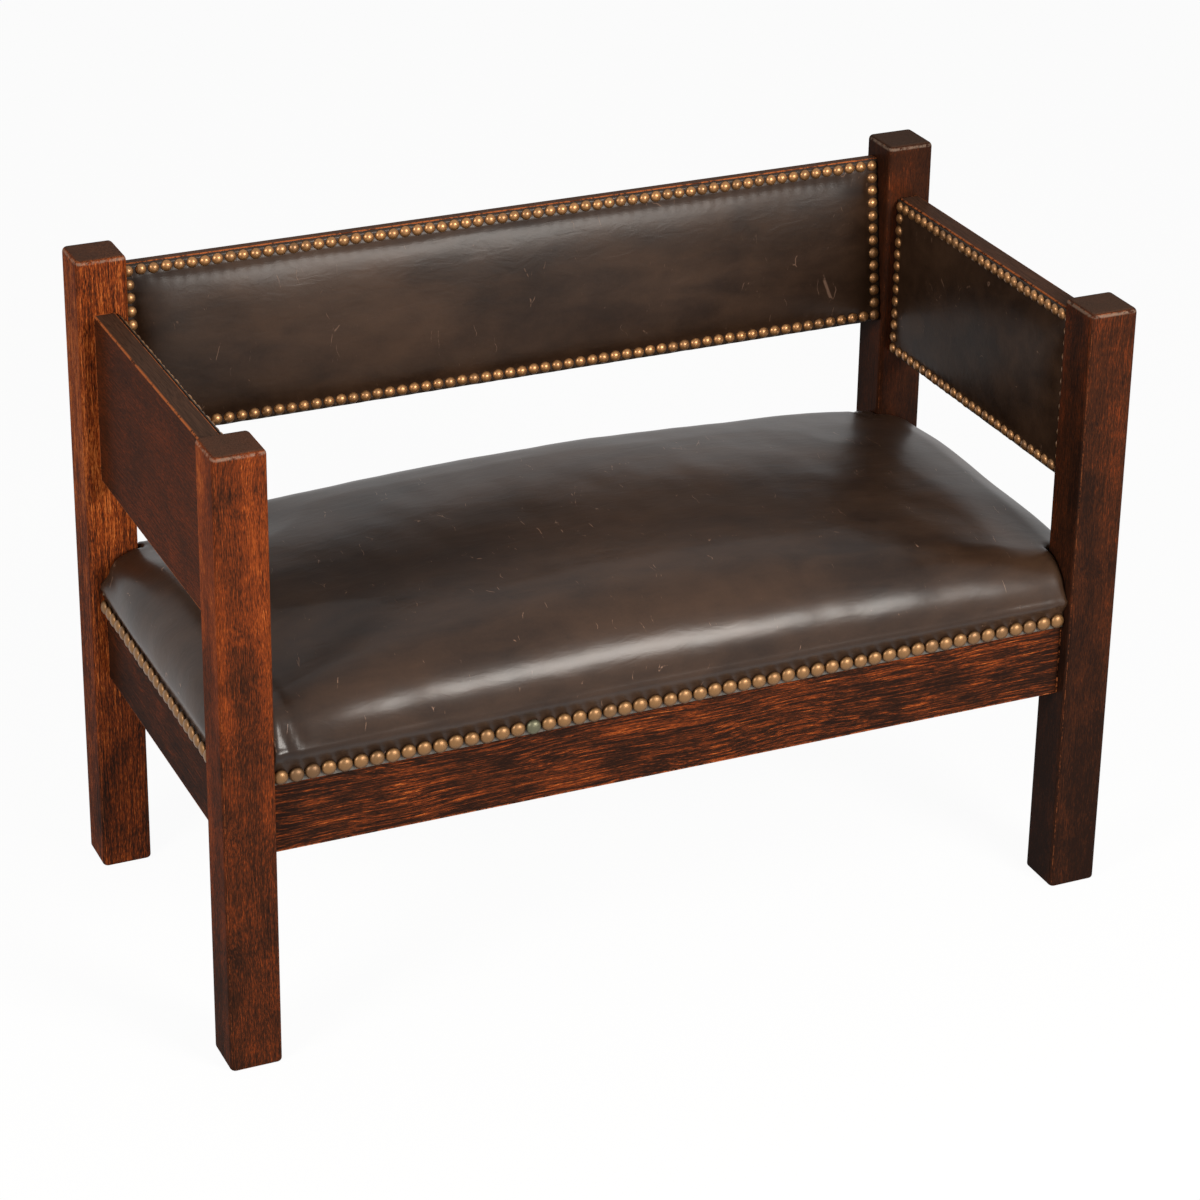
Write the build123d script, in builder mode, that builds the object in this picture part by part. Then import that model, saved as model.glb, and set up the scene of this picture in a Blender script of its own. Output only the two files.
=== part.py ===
"""An oak settle of the mission kind, with a sprung leather seat and leather-faced back and arms.

Millimetres. +X is the sitter's left-to-right as seen from the front, +Y is the back, +Z is up.
The origin is on the floor, under the middle of the overall length and depth.
"""

import math
import os

from build123d import *

# Overall sizes
overall_length = 1200.0
overall_depth = 590.0

# Posts, whose tops rise over the arms and over the back board's own height
post_side = 66.0
front_post_rise = 25.0
back_post_rise = 23.0
post_edge_round = 7.0
post_top_round = 6.5
post_foot_round = 4.5

# Seat rails
rail_thickness = 22.0
rail_height = 127.0
rail_bottom_height = 280.0
rail_setback = 19.0
rail_edge_round = 1.5

# Arm boards, whose lower edges rise over the seat rails
arm_thickness = 28.0
arm_height = 225.0
arm_rise = 153.0
arm_setback = 20.0
arm_edge_round = 2.0

# Back board, which leans back: its front face starts and ends at these depths behind the posts' faces
back_board_thickness = 19.0
back_board_height = 228.0
back_board_rise = 200.0
back_board_bottom_setback = 7.5
back_board_top_setback = 37.0
back_edge_round = 2.0

# Mortise and tenon joints
rail_tenon_thickness = 12.0
rail_tenon_length = 28.0
rail_tenon_shoulder = 12.0
arm_tenon_thickness = 14.0
arm_tenon_length = 24.0
arm_tenon_shoulder = 18.0
back_tenon_thickness = 10.0
back_tenon_length = 20.0
back_tenon_shoulder = 18.0
joint_clearance = 0.15

# Leather and the thin pads behind it on the back and the arms
panel_leather_thickness = 1.5
panel_leather_edge = 1.2
back_pad_thickness = 9.0
arm_pad_thickness = 6.0
panel_pad_margin = 17.0
panel_pad_shoulder = 14.0
panel_pad_crown = 1.5
pad_roll_reach_share = 0.28
pad_roll_rise_share = 0.7
leather_clearance = 0.3

# Domed nails of the back and the arms
small_nail_diameter = 15.0
small_nail_height = 5.6
small_nail_pitch = 16.9
small_nail_edge = 9.5

# Flatter nails of the seat rails
large_nail_diameter = 19.4
large_nail_height = 4.2
large_nail_pitch = 20.2
large_nail_edge = 10.2
nail_shank_radius = 1.1
nail_shank_length = 12.0
nail_hole_clearance = 0.12

# Seat leather: the nail line and the tuck below the rails' tops, then the roll and the crown over them
seat_leather_thickness = 2.0
seat_nail_drop = 20.0
seat_nail_sag = 5.0
seat_flap_below_nails = 10.5
seat_tuck_drop = 9.0
seat_bulge_rise = 11.0
seat_front_bulge = 10.0
seat_side_bulge = 6.5
seat_shoulder_rise = 98.0
seat_end_fall = 53.0
seat_crown_slope = 5.0
seat_side_roll_radius = 80.0
seat_side_roll_slope = 12.0
seat_section_shares = (-1.0, -0.55, 0.0, 0.55, 1.0)

# Springs, spread evenly between the outer ones' distances from the rails
spring_columns = 6
spring_rows = 3
spring_end_room = 134.0
spring_side_room = 104.0
spring_wire_radius = 1.9
spring_end_radius = 40.0
spring_waist_radius = 28.0
spring_half_turns = 10
spring_rise = 47.0
spring_seat_clearance = 0.1

# Webbing
webbing_width = 51.0
webbing_thickness = 1.5
webbing_ramp = 22.0
webbing_end_inset = 8.0

# Hessian cover over the springs
hessian_thickness = 1.2
hessian_edge_inset = 4.0
hessian_deck_margin_x = 84.0
hessian_deck_margin_y = 54.0
stuffing_clearance = 0.3

# Dust cover under the seat
dust_cover_thickness = 0.8
dust_cover_inset = 9.0
dust_tack_inset = 13.5
dust_tack_gap = 12.0

# Tacks
tack_head_radius = 3.6
tack_head_thickness = 0.9
tack_shank_radius = 0.9
tack_shank_length = 11.0
webbing_tack_inset = 7.0
webbing_tack_spread = 17.0

# Corner blocks and their screws
block_leg = 85.0
block_height = 36.0
block_rise = 20.0
screw_offset = 52.0
screw_head_radius = 4.3
screw_head_thickness = 2.8
screw_shank_radius = 2.1
screw_shank_length = 33.0
screw_pocket_radius = 5.5
screw_pocket_depth = 19.0
screw_hole_clearance = 0.15

# One overrun for all cuts
overrun = 5.0

# Places worked out from the sizes
half_length = overall_length / 2
half_depth = overall_depth / 2
post_inner_x = half_length - post_side
post_inner_y = half_depth - post_side
rail_top_height = rail_bottom_height + rail_height
rail_face_y = half_depth - rail_setback
rail_face_x = half_length - rail_setback
rail_inner_y = rail_face_y - rail_thickness
rail_inner_x = rail_face_x - rail_thickness
rail_middle_height = rail_bottom_height + rail_height / 2
arm_face_x = half_length - arm_setback
arm_inner_x = arm_face_x - arm_thickness
arm_bottom_height = rail_top_height + arm_rise
arm_middle_height = arm_bottom_height + arm_height / 2
back_board_bottom_height = rail_top_height + back_board_rise
front_post_height = arm_bottom_height + arm_height + front_post_rise
back_post_height = back_board_bottom_height + back_board_height + back_post_rise
seat_nail_height = rail_top_height - seat_nail_drop
seat_tuck_height = rail_top_height - seat_tuck_drop
seat_bulge_height = rail_top_height + seat_bulge_rise
seat_shoulder_height = seat_bulge_height + seat_shoulder_rise
spring_top_height = rail_top_height + spring_rise
spring_column_pitch = 2 * (rail_inner_x - spring_end_room) / (spring_columns - 1)
spring_row_pitch = 2 * (rail_inner_y - spring_side_room) / (spring_rows - 1)
block_bottom_height = rail_bottom_height + block_rise
back_run = back_board_top_setback - back_board_bottom_setback
back_lean = math.asin(back_run / back_board_height)
long_span = 2 * post_inner_x
short_span = 2 * post_inner_y

# Outward faces of the four rails: local x runs along the rail, local y is up, local z is outwards
front_face = Plane(origin=(0, -rail_face_y, 0), x_dir=(1, 0, 0), z_dir=(0, -1, 0))
back_face = Plane(origin=(0, rail_face_y, 0), x_dir=(-1, 0, 0), z_dir=(0, 1, 0))
left_face = Plane(origin=(-rail_face_x, 0, 0), x_dir=(0, -1, 0), z_dir=(-1, 0, 0))
right_face = Plane(origin=(rail_face_x, 0, 0), x_dir=(0, 1, 0), z_dir=(1, 0, 0))

# Faces of the back and the arms that carry leather, each from its middle, local z towards the sitter
back_panel_face = Plane(
    origin=(
        0,
        post_inner_y + back_board_bottom_setback + back_run / 2,
        back_board_bottom_height + back_board_height * math.cos(back_lean) / 2,
    ),
    x_dir=(1, 0, 0),
    z_dir=(0, -math.cos(back_lean), math.sin(back_lean)),
)
left_arm_face = Plane(origin=(-arm_inner_x, 0, arm_middle_height), x_dir=(0, 1, 0), z_dir=(1, 0, 0))
right_arm_face = Plane(origin=(arm_inner_x, 0, arm_middle_height), x_dir=(0, -1, 0), z_dir=(-1, 0, 0))

os.makedirs("parts", exist_ok=True)


def save(part, name):
    """Label a finished piece and write it to its own file."""
    part.label = name
    export_step(part, f"parts/{name}.step")


def slab(face, length, height, depth, thickness, middle=0.0, mode=Mode.ADD):
    """A board in the open part: a rectangle of the face, from a depth behind it, extruded inwards."""
    with BuildSketch(face.offset(-depth)) as outline:
        with Locations((0, middle)):
            Rectangle(length, height)
    extrude(outline.sketch, amount=-thickness, mode=mode)


def rail_tenons(face, span, grow=0.0, mode=Mode.ADD):
    """The bar that ends in a rail's two tenons, grown by the clearance where it cuts their mortises."""
    slab(
        face,
        span + 2 * rail_tenon_length + 2 * grow,
        rail_height - 2 * rail_tenon_shoulder + 2 * grow,
        (rail_thickness - rail_tenon_thickness) / 2 - grow,
        rail_tenon_thickness + 2 * grow,
        rail_middle_height,
        mode,
    )


def arm_tenons(face, grow=0.0, mode=Mode.ADD):
    """The bar that ends in an arm board's two tenons."""
    slab(
        face,
        short_span + 2 * arm_tenon_length + 2 * grow,
        arm_height - 2 * arm_tenon_shoulder + 2 * grow,
        (arm_thickness - arm_tenon_thickness) / 2 - grow,
        arm_tenon_thickness + 2 * grow,
        mode=mode,
    )


def back_tenons(grow=0.0, mode=Mode.ADD):
    """The bar that ends in the back board's two tenons."""
    slab(
        back_panel_face,
        long_span + 2 * back_tenon_length + 2 * grow,
        back_board_height - 2 * back_tenon_shoulder + 2 * grow,
        (back_board_thickness - back_tenon_thickness) / 2 - grow,
        back_tenon_thickness + 2 * grow,
        mode=mode,
    )


def on_face(face, points):
    """Locations on a face from local points, each with its z axis pointing out of the face."""
    return [face.location * Location((u, v, 0)) for u, v in points]


def spread(first, last, pitch):
    """Evenly spaced places from first to last, as near to the pitch as they come."""
    count = max(1, round(abs(last - first) / pitch))
    return [first + (last - first) * step / count for step in range(count + 1)]


def border_points(length, height):
    """Nail places round a panel: both long rows, then the columns between them."""
    right = length / 2 - small_nail_edge
    top = height / 2 - small_nail_edge
    rows = [(u, v) for v in (top, -top) for u in spread(-right, right, small_nail_pitch)]
    columns = [(u, v) for u in (-right, right) for v in spread(-top, top, small_nail_pitch)[1:-1]]
    return rows + columns


def row_points(span, first_height, last_height):
    """Nail places along one rail, whose line may sag from one end to the other."""
    end = span / 2 - large_nail_edge
    fall = last_height - first_height
    return [(u, first_height + fall * (u + end) / (2 * end)) for u in spread(-end, end, large_nail_pitch)]


def drill(spots, radius, depth):
    """Holes in the open part, from an overrun above each spot down to a depth below it."""
    with Locations(*[spot * Location((0, 0, overrun)) for spot in spots]):
        Cylinder(
            radius,
            depth + overrun,
            align=(Align.CENTER, Align.CENTER, Align.MAX),
            mode=Mode.SUBTRACT,
        )


# Nail places, local to each face
back_nail_points = border_points(long_span, back_board_height)
arm_nail_points = border_points(short_span, arm_height)
front_nail_points = row_points(long_span, seat_nail_height - seat_nail_sag, seat_nail_height)
rear_nail_points = row_points(long_span, seat_nail_height, seat_nail_height)
left_nail_points = row_points(short_span, seat_nail_height, seat_nail_height - seat_nail_sag)
right_nail_points = row_points(short_span, seat_nail_height, seat_nail_height)
nail_hole_radius = nail_shank_radius + nail_hole_clearance
nail_hole_depth = nail_shank_length + nail_hole_clearance

# Seat rails, by name: the outward face, the clear span between posts and the nail places
rails = {
    "front_seat_rail": (front_face, long_span, front_nail_points),
    "back_seat_rail": (back_face, long_span, rear_nail_points),
    "left_seat_rail": (left_face, short_span, left_nail_points),
    "right_seat_rail": (right_face, short_span, right_nail_points),
}

# Posts, by name: the side, the end and the height
posts = {
    "front_left_post": (-1, -1, front_post_height),
    "front_right_post": (1, -1, front_post_height),
    "back_left_post": (-1, 1, back_post_height),
    "back_right_post": (1, 1, back_post_height),
}

for name, (side, end, height) in posts.items():
    with BuildPart() as post:
        with BuildSketch():
            with Locations((side * (half_length - post_side / 2), end * (half_depth - post_side / 2))):
                RectangleRounded(post_side, post_side, post_edge_round)
        extrude(amount=height)
        fillet(post.faces().sort_by(Axis.Z)[-1].edges(), post_top_round)
        fillet(post.faces().sort_by(Axis.Z)[0].edges(), post_foot_round)
        for face, span, _ in rails.values():
            rail_tenons(face, span, joint_clearance, Mode.SUBTRACT)
        for face in (left_arm_face, right_arm_face):
            arm_tenons(face, joint_clearance, Mode.SUBTRACT)
        back_tenons(joint_clearance, Mode.SUBTRACT)
    save(post.part, name)

# Tack places under the rails: webbing ends, then the dust cover's edge on both sides of each strip
webbing_xs = [spring_column_pitch * (k - (spring_columns - 1) / 2) for k in range(spring_columns)]
webbing_ys = [spring_row_pitch * (k - (spring_rows - 1) / 2) for k in range(spring_rows)]
shifts = (-webbing_tack_spread, 0, webbing_tack_spread)
webbing_tack_x = rail_inner_x + webbing_tack_inset
webbing_tack_y = rail_inner_y + webbing_tack_inset
webbing_tack_points = [(x + s, e * webbing_tack_y) for x in webbing_xs for s in shifts for e in (-1, 1)]
webbing_tack_points += [(e * webbing_tack_x, y + s) for y in webbing_ys for s in shifts for e in (-1, 1)]
dust_x = rail_face_x - dust_tack_inset
dust_y = rail_face_y - dust_tack_inset
dust_tack_shift = webbing_width / 2 + dust_tack_gap
dust_xs = [x + s for x in webbing_xs for s in (-dust_tack_shift, dust_tack_shift)]
dust_ys = [y + s for y in webbing_ys for s in (-dust_tack_shift, dust_tack_shift)]
dust_tack_points = [(x, e * dust_y) for x in dust_xs for e in (-1, 1)]
dust_tack_points += [(e * dust_x, y) for y in dust_ys for e in (-1, 1)]

# Under faces that the tacks are driven from, local z downwards
webbing_underside = Plane(
    origin=(0, 0, rail_bottom_height - webbing_thickness), x_dir=(1, 0, 0), z_dir=(0, 0, -1)
)
dust_top_height = rail_bottom_height - 2 * webbing_thickness
dust_underside = Plane(
    origin=(0, 0, dust_top_height - dust_cover_thickness), x_dir=(1, 0, 0), z_dir=(0, 0, -1)
)
tack_hole_radius = tack_shank_radius + nail_hole_clearance
tack_hole_depth = tack_shank_length + nail_hole_clearance

# Screw places in the corner blocks, each as the start and direction of the drive into a rail
block_corners = [(side, end) for side in (-1, 1) for end in (-1, 1)]
screw_height = block_bottom_height + block_height / 2
screw_planes = []
screw_start_x = rail_inner_x - screw_pocket_depth
screw_start_y = rail_inner_y - screw_pocket_depth
for side, end in block_corners:
    into_long_rail = Plane(
        origin=(side * (post_inner_x - screw_offset), end * screw_start_y, screw_height),
        x_dir=(0, 0, 1),
        z_dir=(0, -end, 0),
    )
    into_short_rail = Plane(
        origin=(side * screw_start_x, end * (post_inner_y - screw_offset), screw_height),
        x_dir=(0, 0, 1),
        z_dir=(-side, 0, 0),
    )
    screw_planes += [into_long_rail, into_short_rail]
screw_spots = [plane.location for plane in screw_planes]
screw_hole_radius = screw_shank_radius + screw_hole_clearance
screw_hole_depth = screw_shank_length + screw_hole_clearance

webbing_tack_spots = on_face(webbing_underside, [(x, -y) for x, y in webbing_tack_points])
dust_tack_spots = on_face(dust_underside, [(x, -y) for x, y in dust_tack_points])

for name, (face, span, points) in rails.items():
    with BuildPart() as rail:
        slab(face, span, rail_height, 0, rail_thickness, rail_middle_height)
        fillet(rail.edges().filter_by(Axis((0, 0, 0), face.x_dir)), rail_edge_round)
        rail_tenons(face, span)
        drill(on_face(face.offset(seat_leather_thickness), points), nail_hole_radius, nail_hole_depth)
        drill(webbing_tack_spots, tack_hole_radius, tack_hole_depth)
        drill(dust_tack_spots, tack_hole_radius, tack_hole_depth)
        drill(screw_spots, screw_hole_radius, screw_hole_depth)
    save(rail.part, name)

# Arm boards and the leaning back board
for name, face in {"left_arm_board": left_arm_face, "right_arm_board": right_arm_face}.items():
    with BuildPart() as arm_board:
        slab(face, short_span, arm_height, 0, arm_thickness)
        fillet(arm_board.edges().filter_by(Axis.Y), arm_edge_round)
        arm_tenons(face)
        nail_spots = on_face(face.offset(panel_leather_thickness), arm_nail_points)
        drill(nail_spots, nail_hole_radius, nail_hole_depth)
    save(arm_board.part, name)

with BuildPart() as back_board:
    slab(back_panel_face, long_span, back_board_height, 0, back_board_thickness)
    fillet(back_board.edges().filter_by(Axis.X), back_edge_round)
    back_tenons()
    nail_spots = on_face(back_panel_face.offset(panel_leather_thickness), back_nail_points)
    drill(nail_spots, nail_hole_radius, nail_hole_depth)
save(back_board.part, "back_board")


def pad_profile(plane, half_width, thickness, grow):
    """Rolled shoulders and a low crown over a straight base, drawn in a plane square to the face."""
    outer = half_width + grow
    inner = half_width - panel_pad_shoulder
    top = thickness + grow
    roll_u = outer - (outer - inner) * pad_roll_reach_share
    roll_v = top * pad_roll_rise_share
    with BuildSketch(plane) as profile:
        with BuildLine():
            Line((-outer, 0), (outer, 0))
            ThreePointArc((outer, 0), (roll_u, roll_v), (inner, top))
            ThreePointArc((inner, top), (0, top + panel_pad_crown), (-inner, top))
            ThreePointArc((-inner, top), (-roll_u, roll_v), (-outer, 0))
        make_face()
    return profile.sketch


def pad_body(face, length, height, thickness, grow=0.0):
    """A padded block with four rolled edges: a profile across the face cut by one along it."""
    across = Plane(origin=face.origin, x_dir=face.y_dir, z_dir=face.x_dir)
    along = Plane(origin=face.origin, x_dir=face.x_dir, z_dir=-face.y_dir)
    with BuildPart() as body:
        end_view = pad_profile(across, height / 2 - panel_pad_margin, thickness, grow)
        extrude(end_view, amount=length / 2, both=True)
        side_view = pad_profile(along, length / 2 - panel_pad_margin, thickness, grow)
        extrude(side_view, amount=height / 2, both=True, mode=Mode.INTERSECT)
    return body.part


def nail(diameter, height):
    """A domed upholstery nail, its head's flat underside at the origin and its shank below."""
    dome_radius = ((diameter / 2) ** 2 + height**2) / (2 * height)
    with BuildPart() as piece:
        with Locations((0, 0, height - dome_radius)):
            Sphere(dome_radius)
        split(bisect_by=Plane.XY, keep=Keep.TOP)
        Cylinder(nail_shank_radius, nail_shank_length, align=(Align.CENTER, Align.CENTER, Align.MAX))
    return piece.part


def copies(piece, spots):
    """One solid at each spot, kept as a group of separate solids."""
    return Compound(children=[piece.moved(spot) for spot in spots])


# Leather, pad and nails of the back and of each arm
small_nail = nail(small_nail_diameter, small_nail_height)
large_nail = nail(large_nail_diameter, large_nail_height)
panels = {
    "back": (back_panel_face, long_span, back_board_height, back_pad_thickness, back_nail_points),
    "left_arm": (left_arm_face, short_span, arm_height, arm_pad_thickness, arm_nail_points),
    "right_arm": (right_arm_face, short_span, arm_height, arm_pad_thickness, arm_nail_points),
}
for name, (face, length, height, pad_thickness, points) in panels.items():
    pad = pad_body(face, length, height, pad_thickness)
    with BuildPart() as leather:
        with BuildSketch(face) as border:
            Rectangle(length - 2 * panel_leather_edge, height - 2 * panel_leather_edge)
        extrude(amount=panel_leather_thickness)
        add(pad_body(face, length, height, pad_thickness, leather_clearance + panel_leather_thickness))
        add(pad_body(face, length, height, pad_thickness, leather_clearance), mode=Mode.SUBTRACT)
        drill(on_face(face.offset(panel_leather_thickness), points), nail_hole_radius, nail_hole_depth)
    save(pad, f"{name}_pad")
    save(leather.part, f"{name}_leather")
    nail_spots = on_face(face.offset(panel_leather_thickness), points)
    save(copies(small_nail, nail_spots), f"{name}_nails")

for name, (face, span, points) in rails.items():
    nail_spots = on_face(face.offset(seat_leather_thickness), points)
    save(copies(large_nail, nail_spots), name.replace("seat_rail", "rail_nails"))


def post_notches(clearance):
    """Cut the four corners of the open part clear of the posts."""
    side = post_side + overrun - clearance
    corner_x = post_inner_x - clearance + side / 2
    corner_y = post_inner_y - clearance + side / 2
    with Locations(*[(s * corner_x, e * corner_y) for s in (-1, 1) for e in (-1, 1)]):
        Box(side, side, 2 * back_post_height, mode=Mode.SUBTRACT)


def seat_section(share, inset, base_height):
    """The seat's outline at a share of the half length: tuck, front roll, crown, back roll, tuck."""
    x = share * half_length
    shoulder_height = seat_shoulder_height - seat_end_fall * share**2 - inset
    slope = math.radians(seat_crown_slope)
    bulge_y = rail_face_y + seat_front_bulge - inset
    roll_radius = (shoulder_height - seat_bulge_height) / math.cos(slope)
    shoulder_y = bulge_y - roll_radius * (1 - math.sin(slope))
    crown_height = shoulder_height + shoulder_y * math.tan(slope / 2)
    tuck_y = rail_face_y + seat_leather_thickness - inset
    with BuildSketch(Plane.YZ.offset(x)) as section:
        with BuildLine():
            Line((-tuck_y, base_height), (tuck_y, base_height))
            Line((tuck_y, base_height), (tuck_y, seat_tuck_height))
            TangentArc((bulge_y, seat_bulge_height), (tuck_y, seat_tuck_height), tangent=(0, -1))
            TangentArc((bulge_y, seat_bulge_height), (shoulder_y, shoulder_height), tangent=(0, 1))
            ThreePointArc((shoulder_y, shoulder_height), (0, crown_height), (-shoulder_y, shoulder_height))
            TangentArc((-bulge_y, seat_bulge_height), (-shoulder_y, shoulder_height), tangent=(0, 1))
            TangentArc((-bulge_y, seat_bulge_height), (-tuck_y, seat_tuck_height), tangent=(0, -1))
            Line((-tuck_y, seat_tuck_height), (-tuck_y, base_height))
        make_face()
    return section.sketch


def seat_end_view(inset, base_height):
    """The seat's outline from the front: its side rolls, under a ridge that stays above the crown."""
    slope = math.radians(seat_side_roll_slope)
    radius = seat_side_roll_radius - inset
    bulge_x = rail_face_x + seat_leather_thickness + seat_side_bulge - inset
    roll_x = bulge_x - radius * (1 - math.sin(slope))
    roll_height = seat_bulge_height + radius * math.cos(slope)
    ridge_height = roll_height + roll_x * math.tan(slope)
    tuck_x = rail_face_x + seat_leather_thickness - inset
    with BuildSketch(Plane.XZ) as view:
        with BuildLine():
            Line((-tuck_x, base_height), (tuck_x, base_height))
            Line((tuck_x, base_height), (tuck_x, seat_tuck_height))
            TangentArc((bulge_x, seat_bulge_height), (tuck_x, seat_tuck_height), tangent=(0, -1))
            TangentArc((bulge_x, seat_bulge_height), (roll_x, roll_height), tangent=(0, 1))
            Polyline((roll_x, roll_height), (0, ridge_height), (-roll_x, roll_height))
            TangentArc((-bulge_x, seat_bulge_height), (-roll_x, roll_height), tangent=(0, 1))
            TangentArc((-bulge_x, seat_bulge_height), (-tuck_x, seat_tuck_height), tangent=(0, -1))
            Line((-tuck_x, seat_tuck_height), (-tuck_x, base_height))
        make_face()
    return view.sketch


def seat_body(inset, base_height):
    """The whole crowned seat, drawn in by an inset: lofted along its length, then rolled at both sides."""
    with BuildPart() as body:
        loft([seat_section(share, inset, base_height) for share in seat_section_shares])
        extrude(seat_end_view(inset, base_height), amount=half_depth, both=True, mode=Mode.INTERSECT)
    return body.part


# Seat leather: a shell over the stuffing, tucked in above flaps that the nails hold to the rails
with BuildPart() as seat_leather:
    add(seat_body(0, seat_tuck_height - overrun))
    add(seat_body(seat_leather_thickness, seat_tuck_height - 2 * overrun), mode=Mode.SUBTRACT)
    for face, span, points in rails.values():
        flap_end = span / 2 - leather_clearance
        start = points[0][1] - seat_flap_below_nails
        finish = points[-1][1] - seat_flap_below_nails
        with BuildSketch(face) as flap:
            with BuildLine():
                Polyline(
                    (-flap_end, start),
                    (flap_end, finish),
                    (flap_end, seat_tuck_height),
                    (-flap_end, seat_tuck_height),
                    close=True,
                )
            make_face()
        extrude(amount=seat_leather_thickness)
    post_notches(leather_clearance)
    for face, span, points in rails.values():
        drill(on_face(face.offset(seat_leather_thickness), points), nail_hole_radius, nail_hole_depth)
save(seat_leather.part, "seat_leather")

# Hessian over the springs: a flat deck, sloped sides and a rim tacked to the rails
deck_x = rail_inner_x - hessian_deck_margin_x
deck_y = rail_inner_y - hessian_deck_margin_y


def spring_cover(lift):
    """The space under the hessian, lifted by its thickness for its outside."""
    with BuildPart() as tent:
        with BuildSketch(Plane.XY.offset(rail_top_height + lift)):
            Rectangle(2 * rail_inner_x, 2 * rail_inner_y)
        with BuildSketch(Plane.XY.offset(spring_top_height + lift)):
            Rectangle(2 * deck_x, 2 * deck_y)
        loft(ruled=True)
    return tent.part


with BuildPart() as hessian:
    with BuildSketch(Plane.XY.offset(rail_top_height)):
        Rectangle(2 * (rail_face_x - hessian_edge_inset), 2 * (rail_face_y - hessian_edge_inset))
    extrude(amount=hessian_thickness)
    add(spring_cover(hessian_thickness))
    add(spring_cover(0), mode=Mode.SUBTRACT)
    post_notches(leather_clearance)
save(hessian.part, "spring_hessian")

# Stuffing between the hessian and the leather
with BuildPart() as stuffing:
    add(seat_body(seat_leather_thickness + stuffing_clearance, rail_top_height + hessian_thickness))
    add(spring_cover(hessian_thickness + stuffing_clearance), mode=Mode.SUBTRACT)
    post_notches(leather_clearance)
save(stuffing.part, "seat_stuffing")

# Waisted coil springs, each one wire of half turns that meet in line
first_height = rail_bottom_height + spring_wire_radius + spring_seat_clearance
last_height = spring_top_height - spring_wire_radius - spring_seat_clearance
turn_rise = (last_height - first_height) / spring_half_turns
with BuildPart() as spring:
    with BuildLine() as coil:
        ends = []
        for k in range(spring_half_turns + 1):
            waist = math.cos(math.pi * (k / spring_half_turns - 1 / 2)) ** 2
            reach = spring_end_radius - (spring_end_radius - spring_waist_radius) * waist
            ends.append(Vector((-1) ** k * reach, 0, first_height + turn_rise * k))
        for k, (start, finish) in enumerate(zip(ends, ends[1:])):
            half_chord = (finish - start).length / 2
            ThreePointArc(start, (start + finish) / 2 + Vector(0, (-1) ** k * half_chord, 0), finish)
    with BuildSketch(Plane(origin=coil.line @ 0, z_dir=coil.line % 0)):
        Circle(spring_wire_radius)
    sweep(path=coil.line)
with GridLocations(spring_column_pitch, spring_row_pitch, spring_columns, spring_rows) as grid:
    spring_spots = list(grid.locations)
save(copies(spring.part, spring_spots), "seat_springs")


def webbing_profile(crossings, reach, dips_first):
    """Side view of one strip under the rails: flat, but dipping under every other crossing strip."""
    lower = [(-reach, -webbing_thickness)]
    for k, place in enumerate(crossings):
        if (k + dips_first) % 2:
            half = webbing_width / 2
            lower += [
                (place - half - webbing_ramp, -webbing_thickness),
                (place - half, -2 * webbing_thickness),
                (place + half, -2 * webbing_thickness),
                (place + half + webbing_ramp, -webbing_thickness),
            ]
    lower.append((reach, -webbing_thickness))
    upper = [(place, height + webbing_thickness) for place, height in reversed(lower)]
    return lower + upper


def webbing_strip(plane, crossings, reach, dips_first):
    """One strip, extruded to its width on both sides of the plane of its side view."""
    with BuildPart() as strip:
        with BuildSketch(plane) as side_view:
            with BuildLine():
                Polyline(*webbing_profile(crossings, reach, dips_first), close=True)
            make_face()
        extrude(amount=webbing_width / 2, both=True)
        drill(webbing_tack_spots, tack_hole_radius, tack_hole_depth)
    return strip.part


# Interlaced webbing under the rails, which the springs stand on
lengthwise = []
for row, y in enumerate(webbing_ys):
    plane = Plane(origin=(0, y, rail_bottom_height), x_dir=(1, 0, 0), z_dir=(0, -1, 0))
    lengthwise.append(webbing_strip(plane, webbing_xs, rail_face_x - webbing_end_inset, row))
crosswise = []
for column, x in enumerate(webbing_xs):
    plane = Plane(origin=(x, 0, rail_bottom_height), x_dir=(0, 1, 0), z_dir=(1, 0, 0))
    crosswise.append(webbing_strip(plane, webbing_ys, rail_face_y - webbing_end_inset, column + 1))
save(Compound(children=lengthwise), "lengthwise_webbing")
save(Compound(children=crosswise), "crosswise_webbing")

# Dust cover under the webbing
with BuildPart() as dust_cover:
    with BuildSketch(Plane.XY.offset(dust_top_height - dust_cover_thickness)):
        Rectangle(2 * (rail_face_x - dust_cover_inset), 2 * (rail_face_y - dust_cover_inset))
    extrude(amount=dust_cover_thickness)
    post_notches(leather_clearance)
    drill(dust_tack_spots, tack_hole_radius, tack_hole_depth)
save(dust_cover.part, "dust_cover")

# Tacks, their heads' undersides at the origin
with BuildPart() as tack:
    Cylinder(tack_shank_radius, tack_shank_length, align=(Align.CENTER, Align.CENTER, Align.MAX))
    Cylinder(tack_head_radius, tack_head_thickness, align=(Align.CENTER, Align.CENTER, Align.MIN))
save(copies(tack.part, webbing_tack_spots), "webbing_tacks")
save(copies(tack.part, dust_tack_spots), "dust_cover_tacks")

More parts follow.
